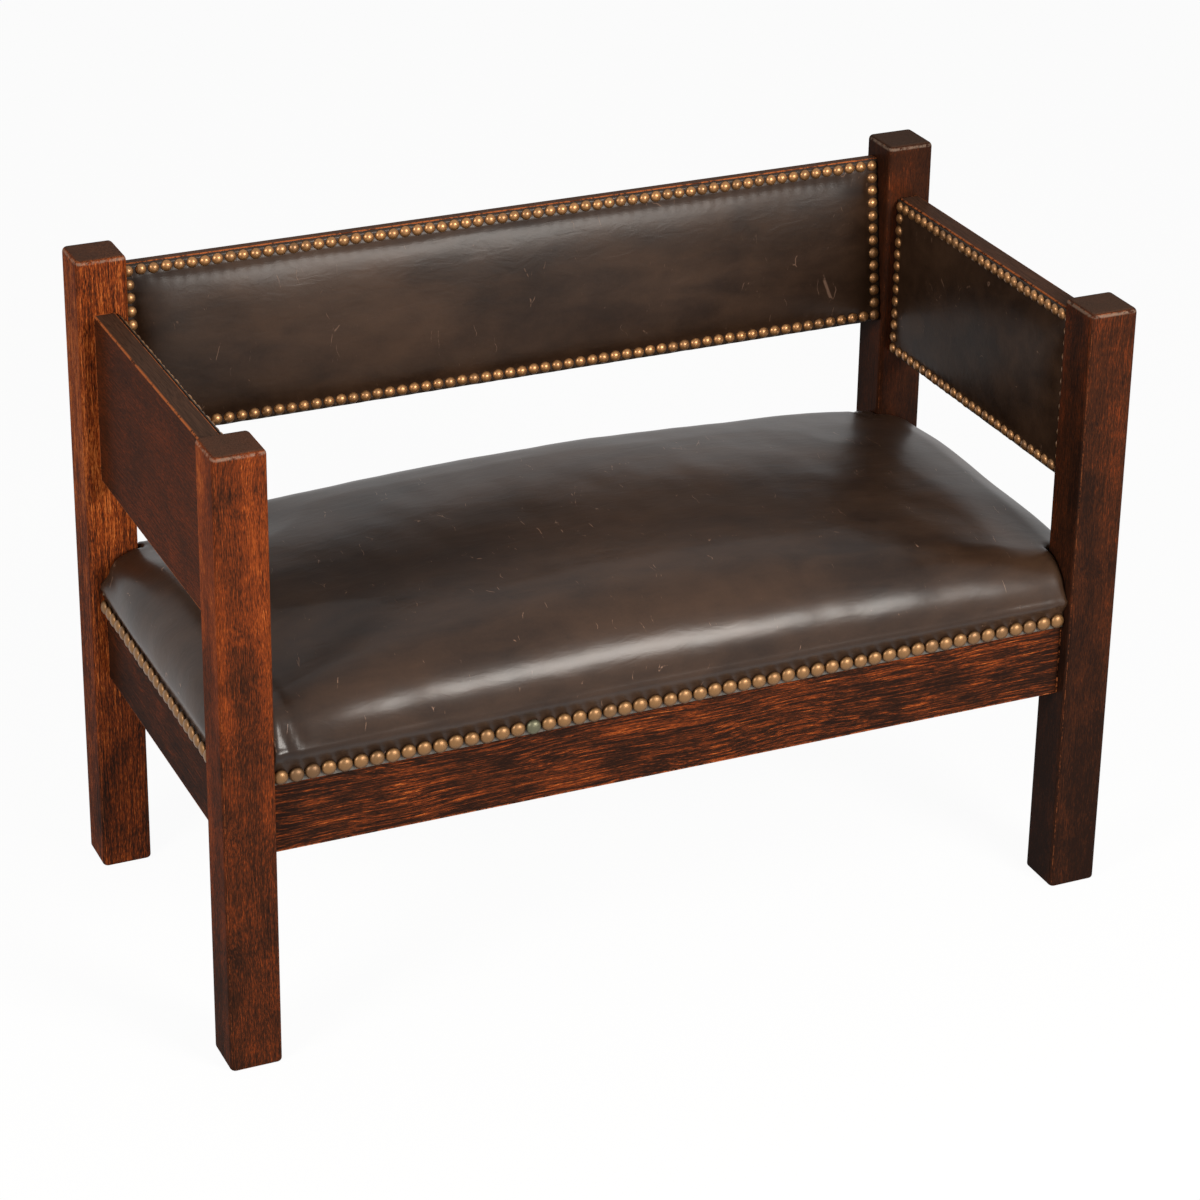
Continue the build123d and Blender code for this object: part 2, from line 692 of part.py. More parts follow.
# Corner blocks, notched round the posts and screwed to the rails
blocks = []
for side, end in block_corners:
    with BuildPart() as block:
        with BuildSketch(Plane.XY.offset(block_bottom_height)):
            with BuildLine():
                Polyline(
                    (side * post_inner_x, end * post_inner_y),
                    (side * post_inner_x, end * rail_inner_y),
                    (side * (post_inner_x - block_leg), end * rail_inner_y),
                    (side * rail_inner_x, end * (post_inner_y - block_leg)),
                    (side * rail_inner_x, end * post_inner_y),
                    close=True,
                )
            make_face()
        extrude(amount=block_height)
        drill(screw_spots, screw_hole_radius, screw_hole_depth)
        with Locations(*screw_spots):
            Cylinder(
                screw_pocket_radius,
                block_leg,
                align=(Align.CENTER, Align.CENTER, Align.MIN),
                mode=Mode.SUBTRACT,
            )
    blocks.append(block.part)
save(Compound(children=blocks), "corner_blocks")

# Screws, their heads' undersides at the origin
with BuildPart() as screw:
    Cylinder(screw_shank_radius, screw_shank_length, align=(Align.CENTER, Align.CENTER, Align.MAX))
    Cylinder(screw_head_radius, screw_head_thickness, align=(Align.CENTER, Align.CENTER, Align.MIN))
save(copies(screw.part, screw_spots), "corner_block_screws")
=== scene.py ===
"""Dresses an oak mission settle: fumed wood, aged hide over pads and springs, and domed brass nails.

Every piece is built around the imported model, in metres and in its frame: +X runs along the length, to the
right as seen from the front, +Y is the back and +Z is up.
"""

import math
import random

import bmesh
import bpy
from mathutils import Euler, Matrix, Vector, noise
from mathutils.bvhtree import BVHTree


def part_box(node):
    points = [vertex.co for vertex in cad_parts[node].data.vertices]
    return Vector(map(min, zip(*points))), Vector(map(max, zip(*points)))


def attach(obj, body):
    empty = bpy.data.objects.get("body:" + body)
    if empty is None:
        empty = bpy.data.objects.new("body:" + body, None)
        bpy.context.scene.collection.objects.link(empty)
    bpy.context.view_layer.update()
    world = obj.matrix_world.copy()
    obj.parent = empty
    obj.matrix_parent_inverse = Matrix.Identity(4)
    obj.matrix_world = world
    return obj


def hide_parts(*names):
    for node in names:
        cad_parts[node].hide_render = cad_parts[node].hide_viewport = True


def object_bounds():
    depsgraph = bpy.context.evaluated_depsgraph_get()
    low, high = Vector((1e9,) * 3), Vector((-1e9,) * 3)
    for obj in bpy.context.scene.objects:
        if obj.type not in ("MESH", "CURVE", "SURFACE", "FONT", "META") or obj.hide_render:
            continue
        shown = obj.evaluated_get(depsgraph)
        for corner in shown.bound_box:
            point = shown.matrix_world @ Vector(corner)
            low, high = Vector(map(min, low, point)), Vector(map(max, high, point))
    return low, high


bl_info = {
    "name": "Mission Settle Workshop",
    "version": (1, 0, 0),
    "blender": (4, 5, 0),
    "location": "View3D > Sidebar > Settle",
    "description": "Finishes the oak, the hide, the pads and the nails of a mission settle",
    "category": "Object",
}

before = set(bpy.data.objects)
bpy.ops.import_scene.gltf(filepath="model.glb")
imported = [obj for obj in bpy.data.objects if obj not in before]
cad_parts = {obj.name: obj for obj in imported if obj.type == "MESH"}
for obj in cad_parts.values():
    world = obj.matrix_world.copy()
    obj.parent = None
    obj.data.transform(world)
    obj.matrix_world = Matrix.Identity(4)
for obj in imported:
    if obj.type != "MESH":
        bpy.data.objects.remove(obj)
cad_low, cad_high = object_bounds()

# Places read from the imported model
half_length = cad_high.x
post_inner_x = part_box("front_right_post")[0].x
post_inner_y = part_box("back_right_post")[0].y
rail_face_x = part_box("right_seat_rail")[1].x
rail_face_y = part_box("back_seat_rail")[1].y
rail_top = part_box("front_seat_rail")[1].z
arm_inner_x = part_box("right_arm_board")[0].x
arm_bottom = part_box("right_arm_board")[0].z
arm_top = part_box("right_arm_board")[1].z
dust_low, dust_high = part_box("dust_cover")
back_low, back_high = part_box("back_board")

# The back board's own thickness, height and lean
back_thickness = 0.019
back_height = 0.228
back_lean = math.radians(7.4345)

# Thicknesses of the hides and clearances round them
seat_hide_thickness = 0.002
panel_hide_thickness = 0.0015
post_clearance = 0.0003
under_hide = 0.0004

# How far the soft pieces reach between the posts
limit_x = post_inner_x - post_clearance
limit_y = post_inner_y - post_clearance

BODY = "root"


def colour(name, description, value):
    """A colour setting, in linear light."""
    return bpy.props.FloatVectorProperty(
        name=name, description=description, subtype="COLOR", size=3, min=0.0, max=1.0, default=value
    )


def number(name, description, value, **settings):
    """A setting that is a plain number."""
    return bpy.props.FloatProperty(name=name, description=description, default=value, **settings)


def length(name, description, value):
    """A length setting, in metres."""
    return number(name, description, value, unit="LENGTH", precision=4)


def share(name, description, value):
    """A setting from nought to one."""
    return number(name, description, value, subtype="FACTOR", min=0, max=1)


class SettleOakSettings(bpy.types.PropertyGroup):
    """Colours of the fumed oak."""

    # The pore colour, dimmed, is also the painted shade in the joints where boards meet posts
    pore: colour("Pores", "Open pores and the darkest streaks", (0.014, 0.0065, 0.0045))
    shade: colour("Shade", "Dark brown between the pores and the heart", (0.043, 0.0135, 0.0060))
    heart: colour("Heart", "Main red-brown of the fumed wood", (0.138, 0.0270, 0.0072))
    streak: colour("Streaks", "Orange streaks of the figure", (0.270, 0.0570, 0.0110))
    flame: colour("Flames", "The brightest streaks", (0.430, 0.1250, 0.0290))
    worn: colour("Worn arris", "Wood rubbed bare along the edges", (0.480, 0.1350, 0.0400))
    dust: colour("Dulled top", "Greyed wax on the faces that point up", (0.088, 0.0480, 0.0310))
    # This pale colour is a painted highlight along the rounded top edges of the posts
    top_edge_highlight: colour("Rubbed post tops", "Pale wax along the posts' upper arrises", (0.420, 0.3000, 0.2200))
    arris: length("Arris width", "How far the wear reaches in from an edge", 0.0030)
    gloss: share("Wax", "Weight of the wax over the wood", 0.06)


class SettleHideSettings(bpy.types.PropertyGroup):
    """Colours and grain of the aged hide."""

    deep: colour("Deep", "Darkest brown of the hide", (0.0075, 0.0030, 0.0013))
    faded: colour("Faded", "Lighter brown where the hide is rubbed", (0.0500, 0.0255, 0.0140))
    scratch: colour("Scratches", "Bare hide in the fine scratches", (0.2900, 0.1700, 0.1150))
    seat_cut: colour("Seat's cut edge", "Grey edge under the large nails", (0.1500, 0.1320, 0.1120))
    panel_cut: colour("Panels' cut edge", "Dark edge beside the small nails", (0.0300, 0.0220, 0.0160))
    pebble: length("Pebble", "Size of the fine grain", 0.0011)
    gloss: share("Roughness", "Roughness of the waxed surface", 0.29)
    seat_wax: share("Seat wax", "Weight of the wax over the seat's hide", 0.48)
    back_wax: share("Back wax", "Weight of the wax over the back's hide", 0.26)
    arm_wax: share("Arm wax", "Weight of the wax over the arms' hides", 0.12)


class SettleNailSettings(bpy.types.PropertyGroup):
    """Sizes and colours of the nails."""

    small_diameter: length("Small nail", "Across the nails of the back and the arms", 0.0155)
    small_height: length("Small dome", "Height of those nails", 0.0056)
    small_pitch: length("Small pitch", "From one small nail to the next", 0.0169)
    small_edge: length("Small edge", "From the board's edge to the nails' line", 0.0095)
    large_diameter: length("Large nail", "Across the nails of the rails", 0.0194)
    large_height: length("Large dome", "Height of those nails", 0.0058)
    large_pitch: length("Large pitch", "From one large nail to the next", 0.0202)
    large_edge: length("Large edge", "From the post to the first large nail", 0.0102)
    line_height: length("Nail line", "Height of the large nails over the floor", 0.387)
    line_sag: length("Sag", "How far the line drops at the front left post", 0.005)
    rubbed: colour("Rubbed brass", "Coppery brass on the domes", (0.330, 0.158, 0.058))
    dull: colour("Dull brass", "Antique brass of the large nails", (0.215, 0.108, 0.040))
    corroded: colour("Verdigris", "The one corroded nail of the front rail", (0.1050, 0.1000, 0.0600))
    # The patina colour also carries the painted shade on the lower side of each dome
    patina: colour("Patina", "Brown patina round the domes' feet", (0.085, 0.045, 0.022))


class SettleSeatSettings(bpy.types.PropertyGroup):
    """The shape of the sprung seat."""

    shoulder: length("Shoulder", "Height of the roll's shoulder at mid length", 0.516)
    end_fall: length("End fall", "How much lower the shoulder is at the ends", 0.053)
    bulge_height: length("Bulge height", "Height at which the roll stands furthest out", 0.418)
    front_bulge: length("Front bulge", "How far the front stands out over the rail", 0.010)
    side_bulge: length("Side bulge", "How far the ends stand out over the rails", 0.0085)
    hip: length("Hip", "How softly the front roll meets the end rolls", 0.034)
    side_radius: length("Side radius", "Radius of the roll at the ends", 0.080)
    flap: length("Flap", "Hide below the nail line", 0.0105)
    step: length("Mesh step", "Spacing of the mesh", 0.0052)
    pressure: number("Pressure", "Push of the stuffing on the hide", 2.5)
    evening: bpy.props.IntProperty(name="Evening", description="Rounds of evening out the swell", default=45)
    cap: length("Most swell", "The furthest that the simulation may move a point", 0.0045)


class SettleStageSettings(bpy.types.PropertyGroup):
    """The plain studio."""

    floor: colour("Floor", "Pale floor", (0.900, 0.900, 0.900))
    warmth: colour("Lamps", "Colour of both softboxes", (1.000, 0.955, 0.895))
    key: number("Key lamp", "Power of the front softbox, in watts", 122.0)
    fill: number("Side lamp", "Power of the left softbox, in watts", 72.0)
    sky: number("Sky", "Level of the light from all round", 0.22)
    white: share("White", "How much of the floor's own shade the backdrop's white covers", 0.95)


class Recipe:
    """A material in the making. Each method adds a node and gives back the socket that the next one reads."""

    def __init__(self, name):
        self.material = bpy.data.materials.new(name)
        self.material.use_nodes = True
        self.tree = self.material.node_tree
        self.shader = self.tree.nodes["Principled BSDF"]

    def node(self, kind, inputs, **settings):
        made = self.tree.nodes.new(kind)
        for key, value in settings.items():
            setattr(made, key, value)
        for key, value in inputs.items():
            if isinstance(value, bpy.types.NodeSocket):
                self.tree.links.new(value, made.inputs[key])
            else:
                made.inputs[key].default_value = value
        return made

    def place(self):
        """Object coordinates, which are the frame's own metres."""
        return self.node("ShaderNodeTexCoord", {}).outputs["Object"]

    def settle_at(self, centre, turn):
        """Object coordinates centred on a piece and turned with it."""
        shift = -(Euler(turn).to_matrix() @ Vector(centre))
        inputs = {"Vector": self.place(), "Location": shift, "Rotation": turn}
        return self.node("ShaderNodeMapping", inputs).outputs["Vector"]

    def attribute(self, name):
        return self.node("ShaderNodeAttribute", {}, attribute_name=name).outputs["Fac"]

    def normal(self):
        return self.split(self.node("ShaderNodeNewGeometry", {}).outputs["Normal"])

    def split(self, vector):
        return self.node("ShaderNodeSeparateXYZ", {"Vector": vector}).outputs

    def join(self, x, y, z):
        return self.node("ShaderNodeCombineXYZ", {"X": x, "Y": y, "Z": z}).outputs["Vector"]

    def math(self, operation, first, second=0.0, third=0.0):
        return self.node("ShaderNodeMath", {0: first, 1: second, 2: third}, operation=operation).outputs[0]

    def times(self, first, second):
        return self.math("MULTIPLY", first, second)

    def add_share(self, value, share_added, to):
        """A share of one value on top of another."""
        return self.math("MULTIPLY_ADD", value, share_added, to)

    def most(self, first, second):
        return self.math("MAXIMUM", first, second)

    def stretch(self, vector, scale):
        return self.node("ShaderNodeVectorMath", {0: vector, 1: scale}, operation="MULTIPLY").outputs[0]

    def shift(self, vector, by):
        return self.node("ShaderNodeVectorMath", {0: vector, 1: by}, operation="ADD").outputs[0]

    def noise(self, vector, scale, detail, roughness=0.55, distortion=0.0):
        inputs = {"Vector": vector, "Scale": scale, "Detail": detail, "Roughness": roughness}
        inputs["Distortion"] = distortion
        return self.node("ShaderNodeTexNoise", inputs).outputs["Fac"]

    def streaks(self, vector, scales, *look):
        """Noise stretched by its own scale along each axis."""
        return self.noise(self.stretch(vector, scales), 1.0, *look)

    def cells(self, vector, scale, feature="F1"):
        inputs = {"Vector": vector, "Scale": scale}
        return self.node("ShaderNodeTexVoronoi", inputs, feature=feature).outputs["Distance"]

    def band(self, value, low, high, to_low=0.0, to_high=1.0):
        """A smooth step from one level to another as the value goes from low to high."""
        inputs = {"Value": value, "From Min": low, "From Max": high, "To Min": to_low, "To Max": to_high}
        return self.node("ShaderNodeMapRange", inputs, interpolation_type="SMOOTHSTEP").outputs["Result"]

    def ramp(self, value, stops):
        made = self.node("ShaderNodeValToRGB", {"Fac": value})
        points = made.color_ramp.elements
        while len(points) < len(stops):
            points.new(1.0)
        for point, (position, tone) in zip(points, stops):
            point.position = position
            point.color = (*tone, 1.0)
        return made.outputs["Color"]

    def mix(self, factor, first, second):
        """A colour part of the way from the first to the second, on the sockets that colours use."""
        inputs = {0: factor}
        for socket, tone in ((6, first), (7, second)):
            inputs[socket] = tone if isinstance(tone, bpy.types.NodeSocket) else (*tone, 1.0)
        return self.node("ShaderNodeMix", inputs, data_type="RGBA").outputs[2]

    def bump(self, height, distance, strength, under=None):
        inputs = {"Height": height, "Distance": distance, "Strength": strength}
        if under is not None:
            inputs["Normal"] = under
        return self.node("ShaderNodeBump", inputs).outputs["Normal"]

    def finish(self, **values):
        """Sets the shader's sockets, named with underscores for spaces."""
        for key, value in values.items():
            socket = self.shader.inputs[key.replace("_", " ")]
            if isinstance(value, bpy.types.NodeSocket):
                self.tree.links.new(value, socket)
            elif socket.type == "RGBA":
                socket.default_value = (*value, 1.0)
            else:
                socket.default_value = value
        return self.material


def edge_mask(recipe, local, half, width):
    """One along a box's edges and nought away from them: the middle one of the three depths decides."""
    a, b, c = [
        recipe.math("SUBTRACT", recipe.math("ABSOLUTE", socket), reach)
        for socket, reach in zip(recipe.split(local), half)
    ]
    low = recipe.math("MINIMUM", a, b)
    middle = recipe.most(low, recipe.math("MINIMUM", recipe.most(a, b), c))
    core = width / 4
    return recipe.band(middle, -width, -core)


def dimmed(tone, share_kept):
    """A colour darkened evenly."""
    return [level * share_kept for level in tone]


def oak_material(name, low, high, look, half=None, turn=(0, 0, 0), dusty=1.0):
    """Fumed quarter-sawn oak whose grain runs along one axis of a box-shaped piece."""
    grain, tone, fleck, streak, fine, smudged, wear, seed = look
    oak = bpy.context.scene.settle_oak
    recipe = Recipe(name)
    centre = (Vector(low) + Vector(high)) / 2
    half = (Vector(high) - Vector(low)) / 2 if half is None else Vector(half)
    local = recipe.settle_at(centre, turn)
    x, y, z = recipe.split(local)
    along, first, second = {"X": (x, y, z), "Y": (y, x, z), "Z": (z, x, y)}[grain]
    fibre_space = recipe.shift(recipe.join(first, second, along), (seed, seed * 1.7, seed * 2.3))
    # Slow waves bend the fibres a little
    sway = 0.030
    wave = recipe.streaks(fibre_space, (9, 9, 3.5), 2.0)
    bend = recipe.add_share(wave, sway, -sway / 2)
    bent = recipe.shift(fibre_space, recipe.join(bend, bend, 0.0))
    flecks = recipe.streaks(bent, (1300, 1300, 150), 2.0, 0.6)
    lines = recipe.streaks(bent, (430 * fine, 430 * fine, 11 * fine), 4.0, 0.65, 0.3)
    flames = recipe.streaks(bent, (260 * fine, 260 * fine, 9 * fine), 5.0, 0.70, 0.4)
    broad = recipe.streaks(bent, (26, 26, 4.0), 3.0)
    smudge = recipe.noise(recipe.shift(local, (seed * 3, 0, seed)), 14.0, 4.0, 0.62)
    # The tone of the wood: short flecks and long lines on broad bands and smudges, darkened towards the floor by
    # painted shade that stands in for light falling off downwards
    floor_height = recipe.split(recipe.place())[2]
    shade_fade_height = 0.62
    level = recipe.band(floor_height, 0.0, shade_fade_height, tone - 0.24, tone + 0.02)
    parts = [(flecks, 1.1 * fleck), (lines, 1.0 * fleck), (flames, 2.1 * streak)]
    parts += [(broad, 0.55 * smudged), (smudge, 0.60 * smudged)]
    for part, weight in parts:
        level = recipe.add_share(recipe.math("SUBTRACT", part, 0.5), weight, level)
    level = recipe.math("MINIMUM", recipe.most(level, 0.0), 1.0)
    stops = [(0.0, oak.pore), (0.30, oak.shade), (0.58, oak.heart), (0.84, oak.streak), (1.0, oak.flame)]
    wood = recipe.ramp(level, stops)
    # Short open pores, dark and sunk
    pored = recipe.band(recipe.streaks(bent, (1500, 1500, 75), 1.0, 0.5), 0.60, 0.67)
    wood = recipe.mix(recipe.times(pored, 0.55 * fleck), wood, oak.pore)
    # Dulled wax on faces that point up
    normal_z = recipe.normal()[2]
    upward = recipe.band(normal_z, 0.75, 0.97)
    dusted = recipe.band(lines, 0.30, 0.66)
    dulled = recipe.mix(dusted, dimmed(oak.dust, dusty * 0.5), dimmed(oak.dust, dusty))
    wood = recipe.mix(recipe.times(upward, 0.82), wood, dulled)
    # Painted shade: dark lines where a board's ends meet its posts, standing in for the shade in the tight
    # joints
    if grain != "Z":
        joint_start, joint_full = 0.0045, 0.0008
        reach = {"X": half.x, "Y": half.y}[grain]
        joint_shade = recipe.band(recipe.math("ABSOLUTE", along), reach - joint_start, reach - joint_full)
        wood = recipe.mix(recipe.times(joint_shade, 0.85), wood, dimmed(oak.pore, 0.4))
    # Rubbed arrises, broken up along their length
    rub_place = recipe.shift(local, (seed, 0, 0))
    rub = recipe.noise(rub_place, 42.0, 5.0, 0.7)
    fine_rub = recipe.noise(rub_place, 240.0, 3.0, 0.7)
    rub = recipe.add_share(fine_rub, 0.45, recipe.times(rub, 0.55))
    worn = recipe.times(edge_mask(recipe, local, half, oak.arris), recipe.band(rub, wear, wear + 0.08))
    wood = recipe.mix(recipe.times(worn, 0.75), wood, oak.worn)
    # Painted highlight: pale colour on the rounded edges round a post's top, where a highlight falls
    if grain == "Z":
        crown_start, crown_full = 0.0065, 0.0040
        crown_highlight = recipe.band(along, half.z - crown_start, half.z - crown_full)
        crown_highlight = recipe.times(crown_highlight, recipe.band(normal_z, 0.80, 0.55))
        crown_highlight = recipe.times(crown_highlight, recipe.band(rub, 0.40, 0.52))
        wood = recipe.mix(recipe.times(crown_highlight, 0.32), wood, oak.top_edge_highlight)
    # Small knocks: sparse dark dents
    knock = recipe.cells(recipe.shift(local, (seed, seed, 0)), 34.0)
    dent = recipe.band(knock, 0.060, 0.035)
    wood = recipe.mix(recipe.times(dent, 0.5), wood, oak.pore)
    gloss = recipe.band(recipe.add_share(lines, 0.5, recipe.times(smudge, 0.5)), 0.3, 0.7)
    gloss = recipe.add_share(upward, 0.10, recipe.add_share(gloss, 0.14, 0.36))
    height = recipe.math("SUBTRACT", recipe.times(lines, 0.4), recipe.times(pored, 0.5))
    relief_depth = 0.0003
    relief = recipe.bump(recipe.math("SUBTRACT", height, dent), relief_depth, 0.5)
    return recipe.finish(
        Base_Color=wood,
        Roughness=gloss,
        Normal=relief,
        Specular_IOR_Level=0.0,
        Coat_Weight=oak.gloss,
        Coat_Roughness=0.28,
        Coat_Normal=relief,
    )


def hide_material(name, seed, faded_share, scratches, wax, cut):
    """Aged dark hide: pebbled, mottled, rubbed, with fine scratches and specks."""
    hide = bpy.context.scene.settle_hide
    recipe = Recipe(name)
    place = recipe.shift(recipe.place(), (seed, -seed, seed * 0.5))
    cloud = recipe.noise(place, 4.2, 5.0, 0.6)
    smear = recipe.streaks(place, (11, 26, 26), 4.0, 0.6, 0.4)
    mottle = recipe.noise(place, 260.0, 3.0, 0.6)
    tone = recipe.add_share(cloud, 0.55, recipe.times(smear, 0.37))
    tone = recipe.add_share(mottle, 0.08, tone)
    middle = 0.62 - 0.24 * faded_share
    skin = recipe.mix(recipe.band(tone, middle - 0.26, middle + 0.26), hide.deep, hide.faded)
    # Scratches: thin, curved stretches of the borders between long cells, in a few scraped places
    sway = 0.03
    curl = recipe.add_share(recipe.noise(place, 24.0, 2.0), sway, -sway / 2)
    curled = recipe.shift(place, recipe.join(curl, curl, curl))
    marks = None
    for turn, scale, keep in ((0.12, 26.0, 0.60), (0.45, 34.0, 0.61), (-0.30, 42.0, 0.62)):
        inputs = {"Vector": curled, "Rotation": (0.1, 0.1, turn), "Scale": (scale, scale * 0.2, scale * 0.2)}
        slant = recipe.node("ShaderNodeMapping", inputs).outputs["Vector"]
        line = recipe.band(recipe.cells(slant, 1.0, "DISTANCE_TO_EDGE"), 0.0100, 0.0025)
        broken = recipe.band(recipe.noise(place, 8.0 + scale * 0.5, 4.0, 0.65), keep, keep + 0.07)
        mark = recipe.times(line, broken)
        marks = mark if marks is None else recipe.most(marks, mark)
    specks = recipe.band(recipe.cells(place, 55.0), 0.034, 0.016)
    specks = recipe.times(specks, recipe.band(recipe.noise(place, 15.0, 3.0), 0.57, 0.64))
    marks = recipe.times(recipe.most(marks, specks), scratches)
    skin = recipe.mix(marks, skin, hide.scratch)
    # The cut edge shows where the mesh says so
    skin = recipe.mix(recipe.attribute("cut_edge"), skin, cut)
    pebbles = recipe.cells(place, 1.0 / hide.pebble, "SMOOTH_F1")
    pits = recipe.noise(place, 1.6 / hide.pebble, 2.0, 0.6)
    gloss = recipe.band(recipe.add_share(cloud, 0.6, recipe.times(mottle, 0.4)), 0.3, 0.7)
    gloss = recipe.add_share(gloss, 0.10, hide.gloss - 0.05)
    grain = recipe.add_share(pebbles, -0.6, recipe.times(pits, 0.5))
    creases = recipe.streaks(place, (26, 60, 60), 4.0, 0.6, 0.8)
    crease_depth, grain_depth, mark_depth = 0.0010, 0.00006, 0.00015
    relief = recipe.bump(creases, crease_depth, 0.30)
    relief = recipe.bump(grain, grain_depth, 0.25, relief)
    relief = recipe.bump(marks, mark_depth, 0.4, relief)
    return recipe.finish(
        Base_Color=skin,
        Roughness=recipe.math("ADD", gloss, 0.22),
        Normal=relief,
        Specular_IOR_Level=0.04,
        Coat_Weight=wax,
        Coat_Roughness=hide.gloss,
        Coat_Normal=relief,
    )


def brass_material(name, tone, roughness, patina_share):
    """Old brass: each nail has its own tone; patina keeps to its foot and small blotches, and the lower side of
    each dome is darkened by patina and painted shade.
    """
    nails = bpy.context.scene.settle_nails
    recipe = Recipe(name)
    place = recipe.place()
    own = recipe.attribute("nail_tone")
    blotch = recipe.noise(place, 520.0, 4.0, 0.6)
    cover = recipe.add_share(own, 0.9, recipe.times(blotch, 0.5))
    cover = recipe.times(recipe.band(cover, 0.55, 1.15), patina_share)
    cover = recipe.most(cover, recipe.times(recipe.attribute("nail_foot"), 0.55))
    # Painted shade as well as patina: the lower side of each dome, where the normal points down, is darkened
    cover = recipe.most(cover, recipe.band(recipe.normal()[2], 0.05, -0.75, 0.0, 0.85))
    skin = recipe.mix(cover, tone, nails.patina)
    skin = recipe.mix(recipe.band(own, 1.4, 1.6), skin, nails.corroded)
    gloss = recipe.add_share(recipe.most(blotch, cover), 0.22, roughness - 0.1)
    dent_depth = 0.00012
    relief = recipe.bump(recipe.noise(place, 900.0, 3.0, 0.6), dent_depth, 0.5)
    return recipe.finish(Base_Color=skin, Metallic=0.6, Roughness=gloss, Normal=relief)


def woven_material(name, thread, gap, pitch):
    """Plain-woven cloth, drawn by two crossing sets of threads."""
    recipe = Recipe(name)
    x, y, z = recipe.split(recipe.place())
    rise = recipe.times(z, 0.7)
    turns = [recipe.times(recipe.math("ADD", across, rise), math.tau / pitch) for across in (x, y)]
    warp, weft = [recipe.math("SINE", turn) for turn in turns]
    weave = recipe.times(warp, weft)
    slub = recipe.noise(recipe.place(), 0.35 / pitch, 4.0, 0.6)
    tone = recipe.add_share(weave, 0.3, recipe.add_share(slub, 0.7, 0.15))
    cloth = recipe.mix(recipe.band(tone, 0.1, 0.9), gap, thread)
    relief = recipe.bump(weave, pitch * 0.25, 0.6)
    return recipe.finish(
        Base_Color=cloth,
        Roughness=0.9,
        Normal=relief,
        Specular_IOR_Level=0.2,
        Sheen_Weight=0.2,
    )


def steel_material(name, tone, roughness):
    """Drawn or blued steel with a little rust."""
    recipe = Recipe(name)
    rust_tone = (0.16, 0.07, 0.035)
    rust_depth = 0.0001
    rust = recipe.noise(recipe.place(), 160.0, 4.0, 0.65)
    skin = recipe.mix(recipe.band(rust, 0.5, 0.75), tone, rust_tone)
    gloss = recipe.band(rust, 0.3, 0.8, roughness, roughness + 0.3)
    relief = recipe.bump(rust, rust_depth, 0.4)
    return recipe.finish(Base_Color=skin, Metallic=0.85, Roughness=gloss, Normal=relief)


def fibre_material(name, light, dark):
    """Long matted fibres: hair and tow, cotton wadding, or the raw grain of the hidden blocks."""
    recipe = Recipe(name)
    fibre_depth = 0.0015
    strands = recipe.streaks(recipe.place(), (260, 90, 260), 5.0, 0.7, 2.5)
    skin = recipe.mix(recipe.band(strands, 0.3, 0.7), dark, light)
    relief = recipe.bump(strands, fibre_depth, 0.8)
    return recipe.finish(Base_Color=skin, Roughness=0.95, Normal=relief, Specular_IOR_Level=0.1)


def dress_node(name, material):
    """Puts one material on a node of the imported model."""
    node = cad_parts[name]
    node.data.materials.clear()
    node.data.materials.append(material)


def keep_piece(piece, material, slot, *nodes):
    """Finishes a new piece: its material, its body and the nodes it stands for. The slot is not used."""
    piece.data.materials.clear()
    piece.data.materials.append(material)
    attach(piece, BODY)
    if nodes:
        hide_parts(*nodes)


def deselect():
    """Leaves nothing selected."""
    if bpy.context.mode != "OBJECT":
        bpy.ops.object.mode_set(mode="OBJECT")
    bpy.ops.object.select_all(action="DESELECT")


def make_active(piece):
    """Selects one object alone."""
    deselect()
    piece.select_set(True)
    bpy.context.view_layer.objects.active = piece


def grid_piece(name, rows):
    """A mesh from rows of points, without the cells that miss a point."""
    points = {}
    mesh = bmesh.new()
    for i, row in enumerate(rows):
        for j, point in enumerate(row):
            if point is not None:
                points[i, j] = mesh.verts.new(point)
    for i in range(len(rows) - 1):
        for j in range(len(rows[0]) - 1):
            corners = [points.get(key) for key in ((i, j), (i + 1, j), (i + 1, j + 1), (i, j + 1))]
            if None not in corners:
                mesh.faces.new(corners)
    data = bpy.data.meshes.new(name)
    mesh.to_mesh(data)
    mesh.free()
    data.shade_smooth()
    piece = bpy.data.objects.new(name, data)
    bpy.context.scene.collection.objects.link(piece)
    return piece


def apply_modifier(piece, kind, **settings):
    """Adds a modifier and applies it."""
    make_active(piece)
    modifier = piece.modifiers.new(kind.title(), kind)
    for key, value in settings.items():
        setattr(modifier, key, value)
    bpy.ops.object.modifier_apply(modifier=modifier.name)


def open_mesh(piece, action="SELECT"):
    """Opens one object in edit mode with all or nothing of it selected."""
    make_active(piece)
    bpy.ops.object.mode_set(mode="EDIT")
    bpy.ops.mesh.select_all(action=action)


def close_mesh():
    """Makes the whole mesh's normals agree and leaves edit mode."""
    bpy.ops.mesh.select_all(action="SELECT")
    bpy.ops.mesh.normals_make_consistent(inside=False)
    bpy.ops.object.mode_set(mode="OBJECT")


def copy_node(node, name):
    """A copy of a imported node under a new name, and its mesh with the doubled points joined."""
    doubled = 0.00001
    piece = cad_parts[node].copy()
    piece.data = piece.data.copy()
    piece.name = name
    bpy.context.scene.collection.objects.link(piece)
    mesh = bmesh.new()
    mesh.from_mesh(piece.data)
    bmesh.ops.remove_doubles(mesh, verts=mesh.verts, dist=doubled)
    return piece, mesh


def store_mesh(mesh, piece):
    """Puts an edited mesh into its piece."""
    mesh.to_mesh(piece.data)
    mesh.free()


def paint(piece, name, value_at):
    """Stores a value at each point of a mesh, for a material to read."""
    values = piece.data.attributes.new(name, "FLOAT", "POINT").data
    for vertex in piece.data.vertices:
        values[vertex.index].value = value_at(vertex.co)


def face_outwards(piece):
    """Turns a closed mesh's faces round if they point inwards."""
    mesh = bmesh.new()
    mesh.from_mesh(piece.data)
    if mesh.calc_volume(signed=True) < 0:
        bmesh.ops.reverse_faces(mesh, faces=mesh.faces)
    store_mesh(mesh, piece)


